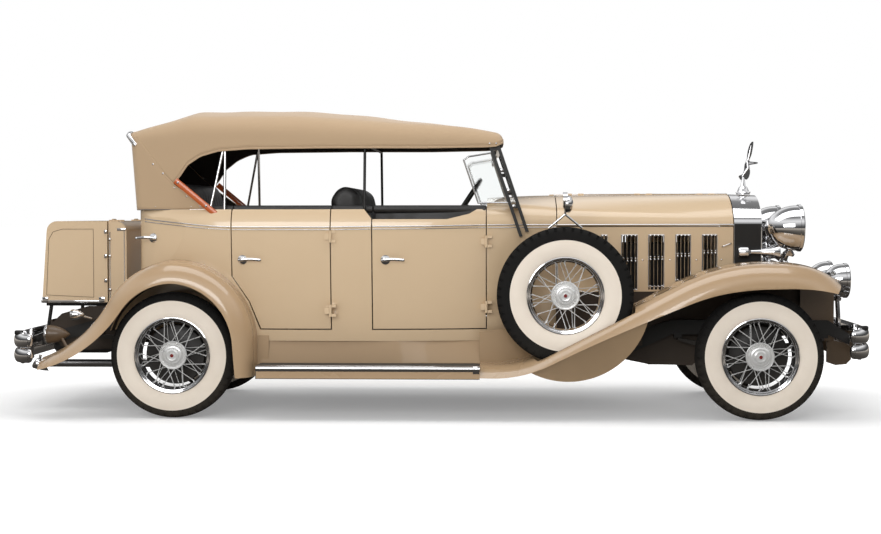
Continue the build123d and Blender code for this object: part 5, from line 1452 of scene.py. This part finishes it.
# Side outlines of the seat backs: (distance, height)
FRONT_BACK_LOOP = [
    (1190, 0.868), (1300, 0.868), (1248, 1.080), (1190, 1.320), (1158, 1.428), (1081, 1.470), (1012, 1.432),
    (990, 1.333), (1090, 1.080),
]
REAR_BACK_LOOP = [
    (118, 0.690), (238, 0.690), (238, 0.862), (166, 1.110), (95, 1.352), (62, 1.452), (18, 1.492),
    (-32, 1.450), (-62, 1.352), (20, 1.060),
]
soft_block(
    "Front_seat_back", FRONT_BACK_LOOP, 0.598, 0.05, black_hide, 13, 0.016, back_pleats, ("seat_backs",),
)
# the rear seat back is black hide made grey as painted highlights
soft_block("Rear_seat_back", REAR_BACK_LOOP, 0.538, 0.05, highlit_black_hide, 12, 0.016, back_pleats)
for name, first, last, half, pleats, replaced in (
    ("Front_cushion", 1168, 1688, 0.588, 13, ("cushions",)), ("Rear_cushion", 248, 743, 0.528, 12, ()),
):
    loop = [(first, 0.712), (first + 60, 0.702), (last - 60, 0.702), (last - 4, 0.722), (last, 0.80),
            (last - 28, 0.852), ((first + last) / 2, 0.866), (first + 40, 0.856), (first, 0.82)]
    soft_block(name, loop, half, 0.04, black_hide, pleats, 0.014, cushion_pleats, replaced)

# ------------------------------------------------------------------ radiator
SHELL_SHOULDER = 1.216
# Black sheets over the plated shell's sides below the shoulder paint the dark reflection those sides show
sides = bmesh.new()
for side in SIDES:
    corners = [(3606, 0.3290, 0.702), (3779, 0.3232, 0.702), (3779, 0.3308, 1.228), (3606, 0.3366, 1.228)]
    skins = [
        [Vector((at(distance), side * (y + out), z)) for distance, y, z in corners]
        for out in (-0.001, 0.0016)
    ]
    for skin in grid_into(sides, skins, closed=True):
        sides.faces.new(skin)
piece("Radiator_side_painted_reflection", sides, black_enamel, "chassis", 20)

opening = arch_points(0.289, SHELL_SHOULDER, 1.379, 0.082, 0.742)
grille = bmesh.new()
for number in range(-11, 12):
    y = number * 0.0248
    top = arch_height(opening, abs(y))
    block_into(
        grille, (at(3748), y - 0.0042, 0.744), (at(3766), y + 0.0042, top - 0.002), 0.0015, segments=1
    )
rim = [Vector((at(3780), y, z)) for y, z in opening]
sweep_into(grille, rim + mirrored(rim[:-1]), round_section(0.0065, 8), (1, 0, 0))
bar_into(grille, (at(3770), -0.289, 0.748), (at(3770), 0.289, 0.748), 0.010)
piece("Radiator_shutters", grille, plating, "chassis", 45)

# filler cap and a plain fin-shaped ornament
CAP_X = at(3712)
CAP_SECTION = [
    (0.0, 0.0), (0.0, 0.044), (0.010, 0.047), (0.018, 0.040), (0.030, 0.036), (0.046, 0.030), (0.060, 0.016),
    (0.110, 0.010), (0.128, 0.0),
]
CAP_KNOBS = 10
# Side outline of the fin: (distance, height)
FIN = [
    (3698, 1.522), (3716, 1.533), (3734, 1.524), (3752, 1.545), (3758, 1.585), (3748, 1.618), (3772, 1.626),
    (3806, 1.632), (3806, 1.641), (3770, 1.645), (3752, 1.652), (3766, 1.690), (3776, 1.742), (3778, 1.780),
    (3758, 1.765), (3742, 1.715), (3736, 1.660), (3722, 1.626), (3718, 1.585), (3706, 1.560), (3682, 1.548),
]
# Columns: distance and height of both ends, radius at both ends
FIN_RIBS = [
    (3706, 1.545, 3744, 1.600, 0.007, 0.013), (3744, 1.600, 3738, 1.650, 0.013, 0.008),
    (3738, 1.632, 3804, 1.637, 0.007, 0.004), (3744, 1.655, 3768, 1.775, 0.009, 0.004),
]
cap = bmesh.new()
lathe_into(cap, CAP_SECTION, (CAP_X, 0, 1.424), (0, 0, 1), 40)
for number in range(CAP_KNOBS):
    angle = math.tau * number / CAP_KNOBS
    ball_into(cap, (CAP_X + 0.045 * math.cos(angle), 0.045 * math.sin(angle), 1.440), 0.0055)
outline = smooth_path([Vector((at(distance), 0, z)) for distance, z in FIN], 3, True)
left, right = ([Vector((point.x, y, point.z)) for point in outline] for y in (-0.0045, 0.0045))
grid_into(cap, [left, right], closed=True)
for ring in (left, right):
    cap.faces.new([cap.verts.new(point) for point in ring])
for d0, z0, d1, z1, r0, r1 in FIN_RIBS:
    bar_into(cap, (at(d0), 0, z0), (at(d1), 0, z1), r0, r1, 12)
    ball_into(cap, (at(d1), 0, z1), r1)
made = piece("Radiator_cap_and_fin", cap, plating, "chassis", 50)
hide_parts("radiator_cap")

# ------------------------------------------------------------------ lamps
LAMP_STEPS = 64


def lamp(mesh_data, tip, rim_at, y, z, radius):
    """Bullet shell with a rolled rim; the shell is slot 0, the bowl slot 1."""
    length = (rim_at - tip) / 1000
    profile = [(0.0, 0.0)]
    for i in range(1, 15):
        t = i / 14
        profile.append((length * t, radius * 0.965 * math.sin(math.pi / 2 * t**0.62)))
    profile += [(length + 0.002, radius), (length + 0.020, radius + 0.001), (length + 0.027, radius - 0.007),
                (length + 0.024, radius - 0.012), (length + 0.004, radius - 0.012)]
    lathe_into(mesh_data, profile, (at(tip), y, z), (1, 0, 0), LAMP_STEPS, closed=False)
    bowl = [
        (length + 0.004 - 0.62 * length * (1 - t * t), (radius - 0.012) * t)
        for t in [i / 10 for i in range(11)]
    ]
    lathe_into(mesh_data, bowl, (at(tip), y, z), (1, 0, 0), LAMP_STEPS, closed=False, index=1)


def lens(mesh_data, rim_at, y, z, radius, bulge):
    """Round glass that bulges forward."""
    face = [(bulge * (1 - t * t), radius * t) for t in [i / 8 for i in range(9)]]
    back = [(forward - 0.004, level) for forward, level in reversed(face)]
    lathe_into(mesh_data, face + back, (at(rim_at), y, z), (1, 0, 0), 56, closed=False)


HEAD_Y, HEAD_Z = 0.385, 1.201
LOW_Y, LOW_Z = 0.245, 0.855
POST_Y = 0.334
HORN_SECTION = [
    (0, 0.0), (0, 0.030), (0.010, 0.036), (0.060, 0.036), (0.068, 0.024), (0.080, 0.014), (0.150, 0.018),
    (0.215, 0.030), (0.250, 0.050), (0.262, 0.060), (0.264, 0.055), (0.246, 0.034), (0.200, 0.0),
]


def lamp_posts_into(shells, side):
    """Bent post with a flared foot and a collar under each lamp of one side."""
    post = [(at(3925), side * POST_Y, 0.555), (at(3925), side * POST_Y, 0.90), (at(3932), side * 0.345, 1.00),
            (at(3952), side * 0.372, 1.060)]
    sweep_into(shells, smooth_path(post, 5), round_section(0.017, 12), (1, 0, 0))
    lathe_into(shells, [(0, 0), (0, 0.040), (0.012, 0.036), (0.040, 0.021), (0.080, 0.017), (0.080, 0)],
               (at(3925), side * POST_Y, 0.955), (0, 0, 1), 24)
    lathe_into(shells, [(0, 0), (0, 0.034), (0.016, 0.040), (0.030, 0.030), (0.044, 0.018), (0.050, 0)],
               (at(3948), side * 0.366, 1.020), (0.2, 0, 1), 24)
    low_post = [
        (at(4300), side * 0.262, 0.50), (at(4296), side * 0.262, 0.62), (at(4290), side * 0.248, 0.755),
    ]
    sweep_into(shells, smooth_path(low_post, 5), round_section(0.015, 12), (1, 0, 0))
    lathe_into(shells, [(0, 0), (0, 0.026), (0.014, 0.030), (0.030, 0.018), (0.036, 0)],
               (at(4290), side * 0.248, 0.722), (0, 0, 1), 24)


shells, lenses, bulbs = bmesh.new(), bmesh.new(), bmesh.new()
for side in SIDES:
    lamp(shells, 3790, 4000, side * HEAD_Y, HEAD_Z, 0.152)
    lamp(shells, 4190, 4331, side * LOW_Y, LOW_Z, 0.115)
    lens(lenses, 4016, side * HEAD_Y, HEAD_Z, 0.139, 0.020)
    lens(lenses, 4347, side * LOW_Y, LOW_Z, 0.102, 0.011)
    ball_into(bulbs, (at(3965), side * HEAD_Y, HEAD_Z), 0.014)
    ball_into(bulbs, (at(4300), side * LOW_Y, LOW_Z), 0.011)
    lamp_posts_into(shells, side)
    # horn bell behind the headlamp, with its motor housing
    lathe_into(shells, HORN_SECTION, (at(3625), side * 0.372, 1.045), (1, 0, 0), 36, closed=False)
# bowed bar between the headlamps
bow = [(at(3930), -POST_Y, 0.985), (at(3950), -0.18, 1.000), (at(3960), 0.0, 1.004), (at(3950), 0.18, 1.000),
       (at(3930), POST_Y, 0.985)]
sweep_into(shells, smooth_path(bow, 6), round_section(0.013, 12), (1, 0, 0))
made = piece("Lamp_shells", shells, [plating, lamp_bowl], "chassis", 40)
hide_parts("lamp_shells")
made = piece("Lamp_lenses", lenses, lens_glass, "chassis", 40)
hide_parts("lamp_lenses")
piece("Lamp_bulbs", bulbs, dial_face, "chassis", 60)

# ------------------------------------------------------------------ bumpers
# Columns: place across in m, share of the run from the middle to the tip
BUMPER_RUN = [
    (0.0, 0.0), (0.30, 0.02), (0.55, 0.10), (0.68, 0.24), (0.755, 0.48), (0.790, 0.75), (0.798, 1.0),
]


# Two inner clamps that carry the arms, then two outer ones
CLAMP_PLACES = (-0.4, 0.4, -0.745, 0.745)
BOLT_SECTION = [(0, 0), (0, 0.014), (0.006, 0.013), (0.010, 0.008), (0.011, 0)]


def bumper_path(tip, middle, height, back):
    """Nearly straight across, wrapped back at both ends."""
    half = [Vector((at(middle + (tip - middle) * share) + back, y, height)) for y, share in BUMPER_RUN]
    return smooth_path(mirrored(half[1:]) + half, 5)


def rounded_bar(height, depth, forward):
    """Bar section bulging outward: (side, height) points."""
    points = []
    for i in range(15):
        angle = math.pi * (i / 14 - 0.5)
        bulge = math.cos(angle) ** 0.8 if abs(angle) < 1.57 else 0.0
        points.append((forward * depth * bulge, height / 2 * math.sin(angle)))
    points += [(-forward * depth * 0.25, height * 0.34), (-forward * depth * 0.25, -height * 0.34)]
    return points


def bumper(label, end, middle, forward, heights, arm_from):
    """Two bars with rounded tips, clamps, bolts and arms; forward is +1 at the front and -1 at the rear."""
    bars = bmesh.new()
    for height in heights:
        path = bumper_path(end, middle, height, -0.024 * forward)
        sweep_into(bars, path, flipped(rounded_bar(0.090, 0.026, -forward), -1))
        for tip, side in ((path[0], -1), (path[-1], 1)):
            ball_into(bars, tip + Vector((0, side * -0.004, 0)), 0.0440, (0.55, 0.50, 1.0))
    for y in CLAMP_PLACES:
        x = at(middle) - (middle - end) / 1000 * along(BUMPER_RUN, abs(y)) - 0.016 * forward
        block_into(bars, (x - 0.046 * forward, y - 0.020, heights[0] - 0.052),
                   (x - 0.020 * forward, y + 0.020, heights[1] + 0.052), 0.006)
        for z in heights:
            lathe_into(bars, BOLT_SECTION, (x + 0.0035 * forward, y, z), (forward, 0, 0), 16)
    arm_x = at(arm_from)
    for y in CLAMP_PLACES[:2]:
        x = at(middle) - (middle - end) / 1000 * 0.05 - 0.016 * forward
        straight = [(arm_x, y, 0.465), ((arm_x + x) / 2, y, 0.462), (x - 0.045 * forward, y, 0.462)]
        sweep_into(bars, smooth_path(straight), flat_section(0.040, 0.060, 0.3))
        stay = [(arm_x, y, 0.49), (x - 0.10 * forward, math.copysign(0.58, y), 0.478),
                (x - 0.075 * forward, math.copysign(0.735, y), 0.475)]
        sweep_into(bars, smooth_path(stay), flat_section(0.010, 0.052, 0.3))
    made = piece(f"Bumper_{label}", bars, plating, "chassis", 45)
    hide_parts(f"{label}_bumper")
    pads = bmesh.new()
    for y in CLAMP_PLACES[2:]:
        x = at(middle) - (middle - end) / 1000 * along(BUMPER_RUN, abs(y))
        block_into(pads, (x - 0.050 * forward, y - 0.014, heights[1] + 0.036),
                   (x + 0.006 * forward, y + 0.014, heights[1] + 0.064), 0.008)
    piece(f"Bumper_clamps_{label}", pads, black_enamel, "chassis", 45)


bumper("front", 4300, 4428, 1, (0.433, 0.529), 4350)
bumper("rear", -945, -1087, -1, (0.393, 0.489), -950)

# ------------------------------------------------------------------ trunk dressing
TRUNK_Y, TRUNK_FRONT_Y = 0.460, 0.447
PANEL_LINE = [(-908, 0.765), (-594, 0.750), (-594, 1.198), (-800, 1.198), (-862, 1.180), (-890, 1.130)]
panel = bmesh.new()
rails = bmesh.new()
front_bits = bmesh.new()
for side in SIDES:
    y = side * (TRUNK_Y + 0.0004)
    for start, end in round_pairs([Vector((at(distance), y, z)) for distance, z in PANEL_LINE]):
        sweep_into(panel, [start, (start + end) / 2, end], flat_section(0.0022, 0.0042, 0.4), (0, 1, 0))
    # foot rail, corner plates and plates up the front edge
    block_into(rails, (at(-938), y, 0.712), (at(-520), y + side * 0.005, 0.730), 0.002)
    for distance in (-936, -560):
        block_into(rails, (at(distance), y, 0.712), (at(distance + 40), y + side * 0.007, 0.752), 0.003)
    for z in (0.86, 1.02, 1.18):
        block_into(rails, (at(-522), y, z - 0.012), (at(-502), y + side * 0.010, z + 0.012), 0.003)
    y = side * (TRUNK_FRONT_Y + 0.0004)
    bar_into(front_bits, (at(-488), y, 0.74), (at(-488), y, 1.18), 0.005)
    bar_into(front_bits, (at(-392), y, 0.74), (at(-392), y, 1.19), 0.004)
    for z in (0.80, 1.02, 1.13):
        ball_into(front_bits, (at(-488), y + side * 0.004, z), 0.011, (1, 0.7, 1))
    block_into(front_bits, (at(-440), y - side * 0.01, 1.186), (at(-380), y + side * 0.004, 1.204), 0.003)
block_into(rails, (at(-946), -0.458, 0.714), (at(-939), 0.458, 0.734), 0.002)
for y in (-0.30, 0.30):
    block_into(rails, (at(-918), y - 0.03, 0.98), (at(-907), y + 0.03, 1.06), 0.004)
grip = [(at(-918), -0.09, 1.02), (at(-944), -0.075, 1.02), (at(-944), 0.075, 1.02), (at(-918), 0.09, 1.02)]
sweep_into(rails, smooth_path(grip), round_section(0.007, 10))
piece("Trunk_panel_line", panel, brown_paint, "trunk_lid", 0)
piece("Trunk_rails", rails, plating, "trunk_lid", 45)
piece("Trunk_front_fittings", front_bits, plating, "chassis", 45)

# ------------------------------------------------------------------ running boards
BOARD_Y = 0.920
BOARD_ENDS = (at(552), at(1951))
RIB_PITCH = 0.0122
ribs, strips, faces, plates = bmesh.new(), bmesh.new(), bmesh.new(), bmesh.new()
for side in SIDES:
    outer = side * BOARD_Y
    rear, front = BOARD_ENDS
    for number in range(15):
        y = side * (0.728 + RIB_PITCH * number)
        block_into(ribs, (at(565), y - 0.0030, 0.3448), (at(1935), y + 0.0030, 0.3478), 0.0010, segments=1)
    strip = [Vector((rear, outer, 0.3270)), Vector((front, outer, 0.3270))]
    sweep_into(strips, strip, rounded_bar(0.031, 0.0085, -side))
    block_into(strips, (rear, outer - side * 0.016, 0.3450), (front, outer, 0.3482), 0.001)
    block_into(faces, (rear, outer, 0.2690), (front, outer + side * 0.0016, 0.3300), 0.0004, segments=1)
    block_into(plates, (at(1908), outer, 0.300), (at(1948), outer + side * 0.0062, 0.346), 0.002)
piece("Running_board_ribs", ribs, mat_rubber, "chassis", 30)
piece("Running_board_strips", strips, plating, "chassis", 30)
piece("Running_board_faces", faces, fender_paint, "chassis", 30)
piece("Running_board_plates", plates, plating, "chassis", 30)

# ------------------------------------------------------------------ tail lamps
tails = bmesh.new()
for side in SIDES:
    lathe_into(tails, [(-0.006, 0.0), (-0.005, 0.020), (0.000, 0.038), (0.004, 0.046), (0.010, 0.046)],
               (at(-852), side * 0.640, 0.520), (1, 0, 0), 36, closed=False)
    lathe_into(tails, [(-0.005, 0.0), (-0.004, 0.016), (0.002, 0.028), (0.008, 0.028)],
               (at(-712), side * 0.560, 0.640), (1, 0, 0), 30, closed=False)
piece("Tail_lamp_lenses", tails, ruby_glass, "chassis", 60)
tails = bmesh.new()
for side in SIDES:
    lathe_into(tails, [(-0.003, 0.046), (-0.010, 0.056), (-0.004, 0.062), (0.006, 0.060), (0.008, 0.050)],
               (at(-850), side * 0.640, 0.520), (1, 0, 0), 40)
    lathe_into(
        tails, [(0.0, 0.028), (-0.006, 0.034), (0.004, 0.037), (0.040, 0.031), (0.075, 0.012), (0.084, 0.0)],
        (at(-710), side * 0.560, 0.640), (1, 0, 0), 36, closed=False,
    )
    bar_into(tails, (at(-680), side * 0.560, 0.640), (at(-600), side * 0.50, 0.612), 0.010)
    lathe_into(
        tails, [(0.0, 0.0), (0.004, 0.030), (0.012, 0.036), (0.040, 0.030), (0.080, 0.016), (0.112, 0.0)],
        (at(-920), side * 0.700, 0.345), (0.86, 0, -0.5), 30, closed=False,
    )
    bar_into(tails, (at(-890), side * 0.700, 0.335), (at(-880), side * 0.690, 0.392), 0.009)
piece("Tail_lamp_rims", tails, plating, "chassis", 60)

# ------------------------------------------------------------------ mirrors, wings and small bright parts
MIRROR_PLACE = (at(2500), 0.770, 1.355)
MIRROR_GLASS = [(-0.0165, 0.0), (-0.0165, 0.047), (-0.0140, 0.047)]
MIRROR_SHELL = [
    (-0.014, 0.046), (-0.018, 0.050), (-0.014, 0.054), (0.012, 0.054), (0.026, 0.040), (0.034, 0.018),
    (0.036, 0.0),
]
# Corners of a wind wing: (distance, height)
WING = [(2019, 1.683), (1875, 1.660), (1844, 1.637), (1936, 1.366), (2124, 1.366)]
glass, bright = bmesh.new(), bmesh.new()
for side in SIDES:
    place = Vector(MIRROR_PLACE) * Vector((1, side, 1))
    lathe_into(glass, MIRROR_GLASS, place, (1, 0, 0), 40, closed=False)
    lathe_into(bright, MIRROR_SHELL, place, (1, 0, 0), 40, closed=False)
    for start, end in round_pairs([Vector((at(distance), side * 0.6215, z)) for distance, z in WING]):
        bar_into(bright, start, end, 0.0055, sides=8)
        ball_into(bright, start, 0.0060)
    # knobs up the leaning post of the windshield
    for z in (1.343, 1.443, 1.573):
        distance = 2195 - (z * 1000 - 1160) * 0.3374 + 30
        ball_into(bright, (at(distance), side * 0.628, z), 0.013, (1, 0.55, 1))
# inside mirror on its stem
stem = [(at(2052), 0.0, 1.690), (at(2046), 0.0, 1.672), (at(2030), 0.0, 1.655)]
sweep_into(bright, smooth_path(stem, 4), round_section(0.006, 8))
block_into(bright, (at(2018), -0.095, 1.618), (at(2030), 0.095, 1.668), 0.005)
piece("Mirror_glass", glass, lens_glass, "chassis", 40)
piece("Screen_and_mirror_brightwork", bright, plating, "chassis", 45)

# instruments
# Columns: place across, height, radius
DIALS = [(0.26, 1.245, 0.058), (0.10, 1.245, 0.048), (-0.03, 1.245, 0.040), (-0.14, 1.245, 0.040),
         (0.40, 1.23, 0.034)]
dials, rings = bmesh.new(), bmesh.new()
for y, z, radius in DIALS:
    face = [(-0.0010, 0.0), (-0.0010, radius)]
    bezel = [(0.0, radius), (-0.005, radius), (-0.006, radius + 0.004), (0.0, radius + 0.008)]
    hand_end = (at(2009.5), y + radius * 0.5, z + radius * 0.5)
    lathe_into(dials, face, (at(2011), y, z), (1, 0, 0), 32, closed=False)
    lathe_into(rings, bezel, (at(2011.5), y, z), (1, 0, 0), 32)
    bar_into(rings, (at(2009.5), y, z), hand_end, 0.0012, sides=6)
piece("Dash_dials", dials, dial_face, "chassis", 30)
piece("Dash_bezels", rings, plating, "chassis", 45)

# ------------------------------------------------------------------ panels behind and under the body, with dark sheets of painted shade
def sheet_strip(mesh_data, stations, thick, side):
    """Strip through (distance, y, low, high) stations, with a thickness."""
    near = [
        [Vector((at(distance), side * y, low)), Vector((at(distance), side * y, high))]
        for distance, y, low, high in stations
    ]
    far = [[point + Vector((0, -side * thick, 0)) for point in row] for row in near]
    ring = [[n[0], n[1], f[1], f[0]] for n, f in zip(near, far)]
    grid = grid_into(mesh_data, ring, closed=True)
    mesh_data.faces.new(grid[0])
    mesh_data.faces.new(grid[-1])


# Columns of each strip: distance, place across, low edge, high edge
FRONT_SKIRT = [
    (1946, 0.700, 0.275, 0.545), (2060, 0.680, 0.275, 0.560), (2200, 0.640, 0.290, 0.575),
    (2320, 0.590, 0.330, 0.585), (2440, 0.532, 0.400, 0.590),
]
REAR_SKIRT = [(470, 0.702, 0.275, 0.520), (600, 0.702, 0.275, 0.520)]
# Dark sheets of painted shade beside the engine and round the fuel tank
ENGINE_SHADE = [(2440, 0.527, 0.400, 0.560), (2700, 0.480, 0.420, 0.560), (3000, 0.440, 0.440, 0.560)]
TANK_SHADE = [
    (-905, 0.420, 0.505, 0.560), (-820, 0.420, 0.420, 0.640), (-640, 0.420, 0.400, 0.690),
    (-300, 0.420, 0.420, 0.690),
]
# Dark sheet under the engine that stands for the engine pan and paints the shade under it
UNDERSHIELD_SHADE = [
    (2790, 0.370, 0.375, 0.520), (2900, 0.370, 0.340, 0.520), (3050, 0.370, 0.310, 0.520),
    (3330, 0.370, 0.305, 0.520), (3380, 0.370, 0.350, 0.520),
]
FRAME_HORN = [
    (4195, 0.405, 0.330, 0.470), (4250, 0.405, 0.312, 0.470), (4320, 0.400, 0.318, 0.450),
    (4352, 0.395, 0.350, 0.425),
]
APRON_SIDE = [
    (4020, 0.405, 0.600, 0.860), (4130, 0.405, 0.500, 0.850), (4205, 0.405, 0.460, 0.830),
    (4238, 0.400, 0.470, 0.790),
]
skirts, shadows, brown = bmesh.new(), bmesh.new(), bmesh.new()
for side in SIDES:
    for mesh_data, stations, thick in (
        (skirts, FRONT_SKIRT, 0.004), (skirts, REAR_SKIRT, 0.004), (shadows, ENGINE_SHADE, 0.004),
        (brown, FRAME_HORN, 0.030), (brown, APRON_SIDE, 0.004), (shadows, TANK_SHADE, 0.010),
        (shadows, UNDERSHIELD_SHADE, 0.010),
    ):
        sheet_strip(mesh_data, stations, thick, side)
# bottom plates of the painted shade under the engine, and a sheet of painted shade behind the trunk
block_into(shadows, (at(2900), -0.365, 0.340), (at(3050), 0.365, 0.352), 0.003)
block_into(shadows, (at(3040), -0.365, 0.308), (at(3335), 0.365, 0.320), 0.003)
block_into(brown, (at(4330), -0.375, 0.340), (at(4348), 0.375, 0.440), 0.006)
block_into(shadows, (at(-900), -0.415, 0.520), (at(-884), 0.415, 0.600), 0.006)
# the skirts take the darker apron paint as painted shade, and the shade panels are dark sheets of painted
# shade
piece("Fender_skirts", skirts, shaded_apron_paint, "chassis", 40)
piece("Shade_panels", shadows, painted_shade, "chassis", 40)
piece("Front_apron", brown, brown_paint, "chassis", 40)

# padded roll along the inside top of the body and doors
# Place across of the roll along the car
ROLL_LINE = [(-60, 0.630), (378, 0.655), (1200, 0.660), (1700, 0.640), (1985, 0.622)]
# Columns: carrying body, start, end
ROLLS = [
    ("chassis", -60, 362), ("door_rear_{}", 378, 996), ("chassis", 1012, 1258),
    ("door_front_{}", 1276, 1982),
]
for side_name, side in NAMED_SIDES:
    for number, (body, first, last) in enumerate(ROLLS):
        rolls = bmesh.new()
        path = []
        for step in range(9):
            distance = first + (last - first) * step / 8
            path.append(Vector((at(distance), side * along(ROLL_LINE, distance), 1.327)))
        sweep_into(rolls, path, oval_section(0.021, 0.62, 1.15, 14))
        for end in (path[0], path[-1]):
            ball_into(rolls, end, 0.0205, (0.5, 0.62, 1.15))
        if "front" in body:
            block_into(rolls, (at(first), side * 0.618, 1.12), (at(last), side * 0.640, 1.33), 0.006)
        roll = piece(f"Body_roll_{number}_{side_name}", rolls, black_hide, body.format(side_name), 60)

# ------------------------------------------------------------------ wooden back bows
# The CAD bars are thin; these have the full section, chamfered edges and bolts.
bow_points = [vertex.co for vertex in nodes["wood_bows"].data.vertices if vertex.co.y < 0]
bow_y = sum(point.y for point in bow_points) / len(bow_points)
low_end = max(bow_points, key=lambda point: point.x - point.z)
high_end = min(bow_points, key=lambda point: point.x - point.z)
BOW_SECTION = [
    (-0.011, -0.014), (-0.008, -0.019), (0.008, -0.019), (0.011, -0.014),
    (0.011, 0.014), (0.008, 0.019), (-0.008, 0.019), (-0.011, 0.014),
]
BOW_BOLT_SECTION = [(0.009, 0.0001), (0.008, 0.006), (0.005, 0.0085), (0.0, 0.0090)]
woods, bolts = bmesh.new(), bmesh.new()
for side in SIDES:
    near, far = (Vector((end.x, -side * bow_y, end.z)) for end in (low_end, high_end))
    lean = (far - near).normalized()
    sweep_into(woods, [near, near + lean * 0.03, far - lean * 0.03, far], BOW_SECTION)
    for share in (0.06, 0.30, 0.94):
        head = near.lerp(far, share)
        head += Vector((0, side * 0.007, 0))
        lathe_into(bolts, BOW_BOLT_SECTION, head, (0, side, 0), 16, closed=False)
wood = piece("Wood_bow_bars", woods, bow_wood, "chassis", 40)
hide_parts("wood_bows")
piece("Wood_bow_bolts", bolts, plating, "chassis", 60)

# ------------------------------------------------------------------ front fenders with a raised, blunter nose
NOSE_START, NOSE_LENGTH, NOSE_LIFT, NOSE_BACK = 0.08, 0.43, 0.090, 0.016
nose = bmesh.new()
nose.from_mesh(nodes["front_fenders"].data)
bmesh.ops.remove_doubles(nose, verts=nose.verts, dist=0.00005)
for vertex in nose.verts:
    share = (vertex.co.x - FRONT_AXLE_X - NOSE_START) / NOSE_LENGTH
    if share > 0:
        vertex.co.z += NOSE_LIFT * min(share, 1.05) ** 1.4
        vertex.co.x -= NOSE_BACK * min(share, 1.0) ** 3
fender_shells = piece("Front_fender_shells", nose, fender_paint, "chassis", 30)
# slots for the painted underside shade and the darker apron paint that stands for shade, as on the CAD fender
for finish in (painted_shade, shaded_apron_paint):
    fender_shells.data.materials.append(finish)
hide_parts("front_fenders")
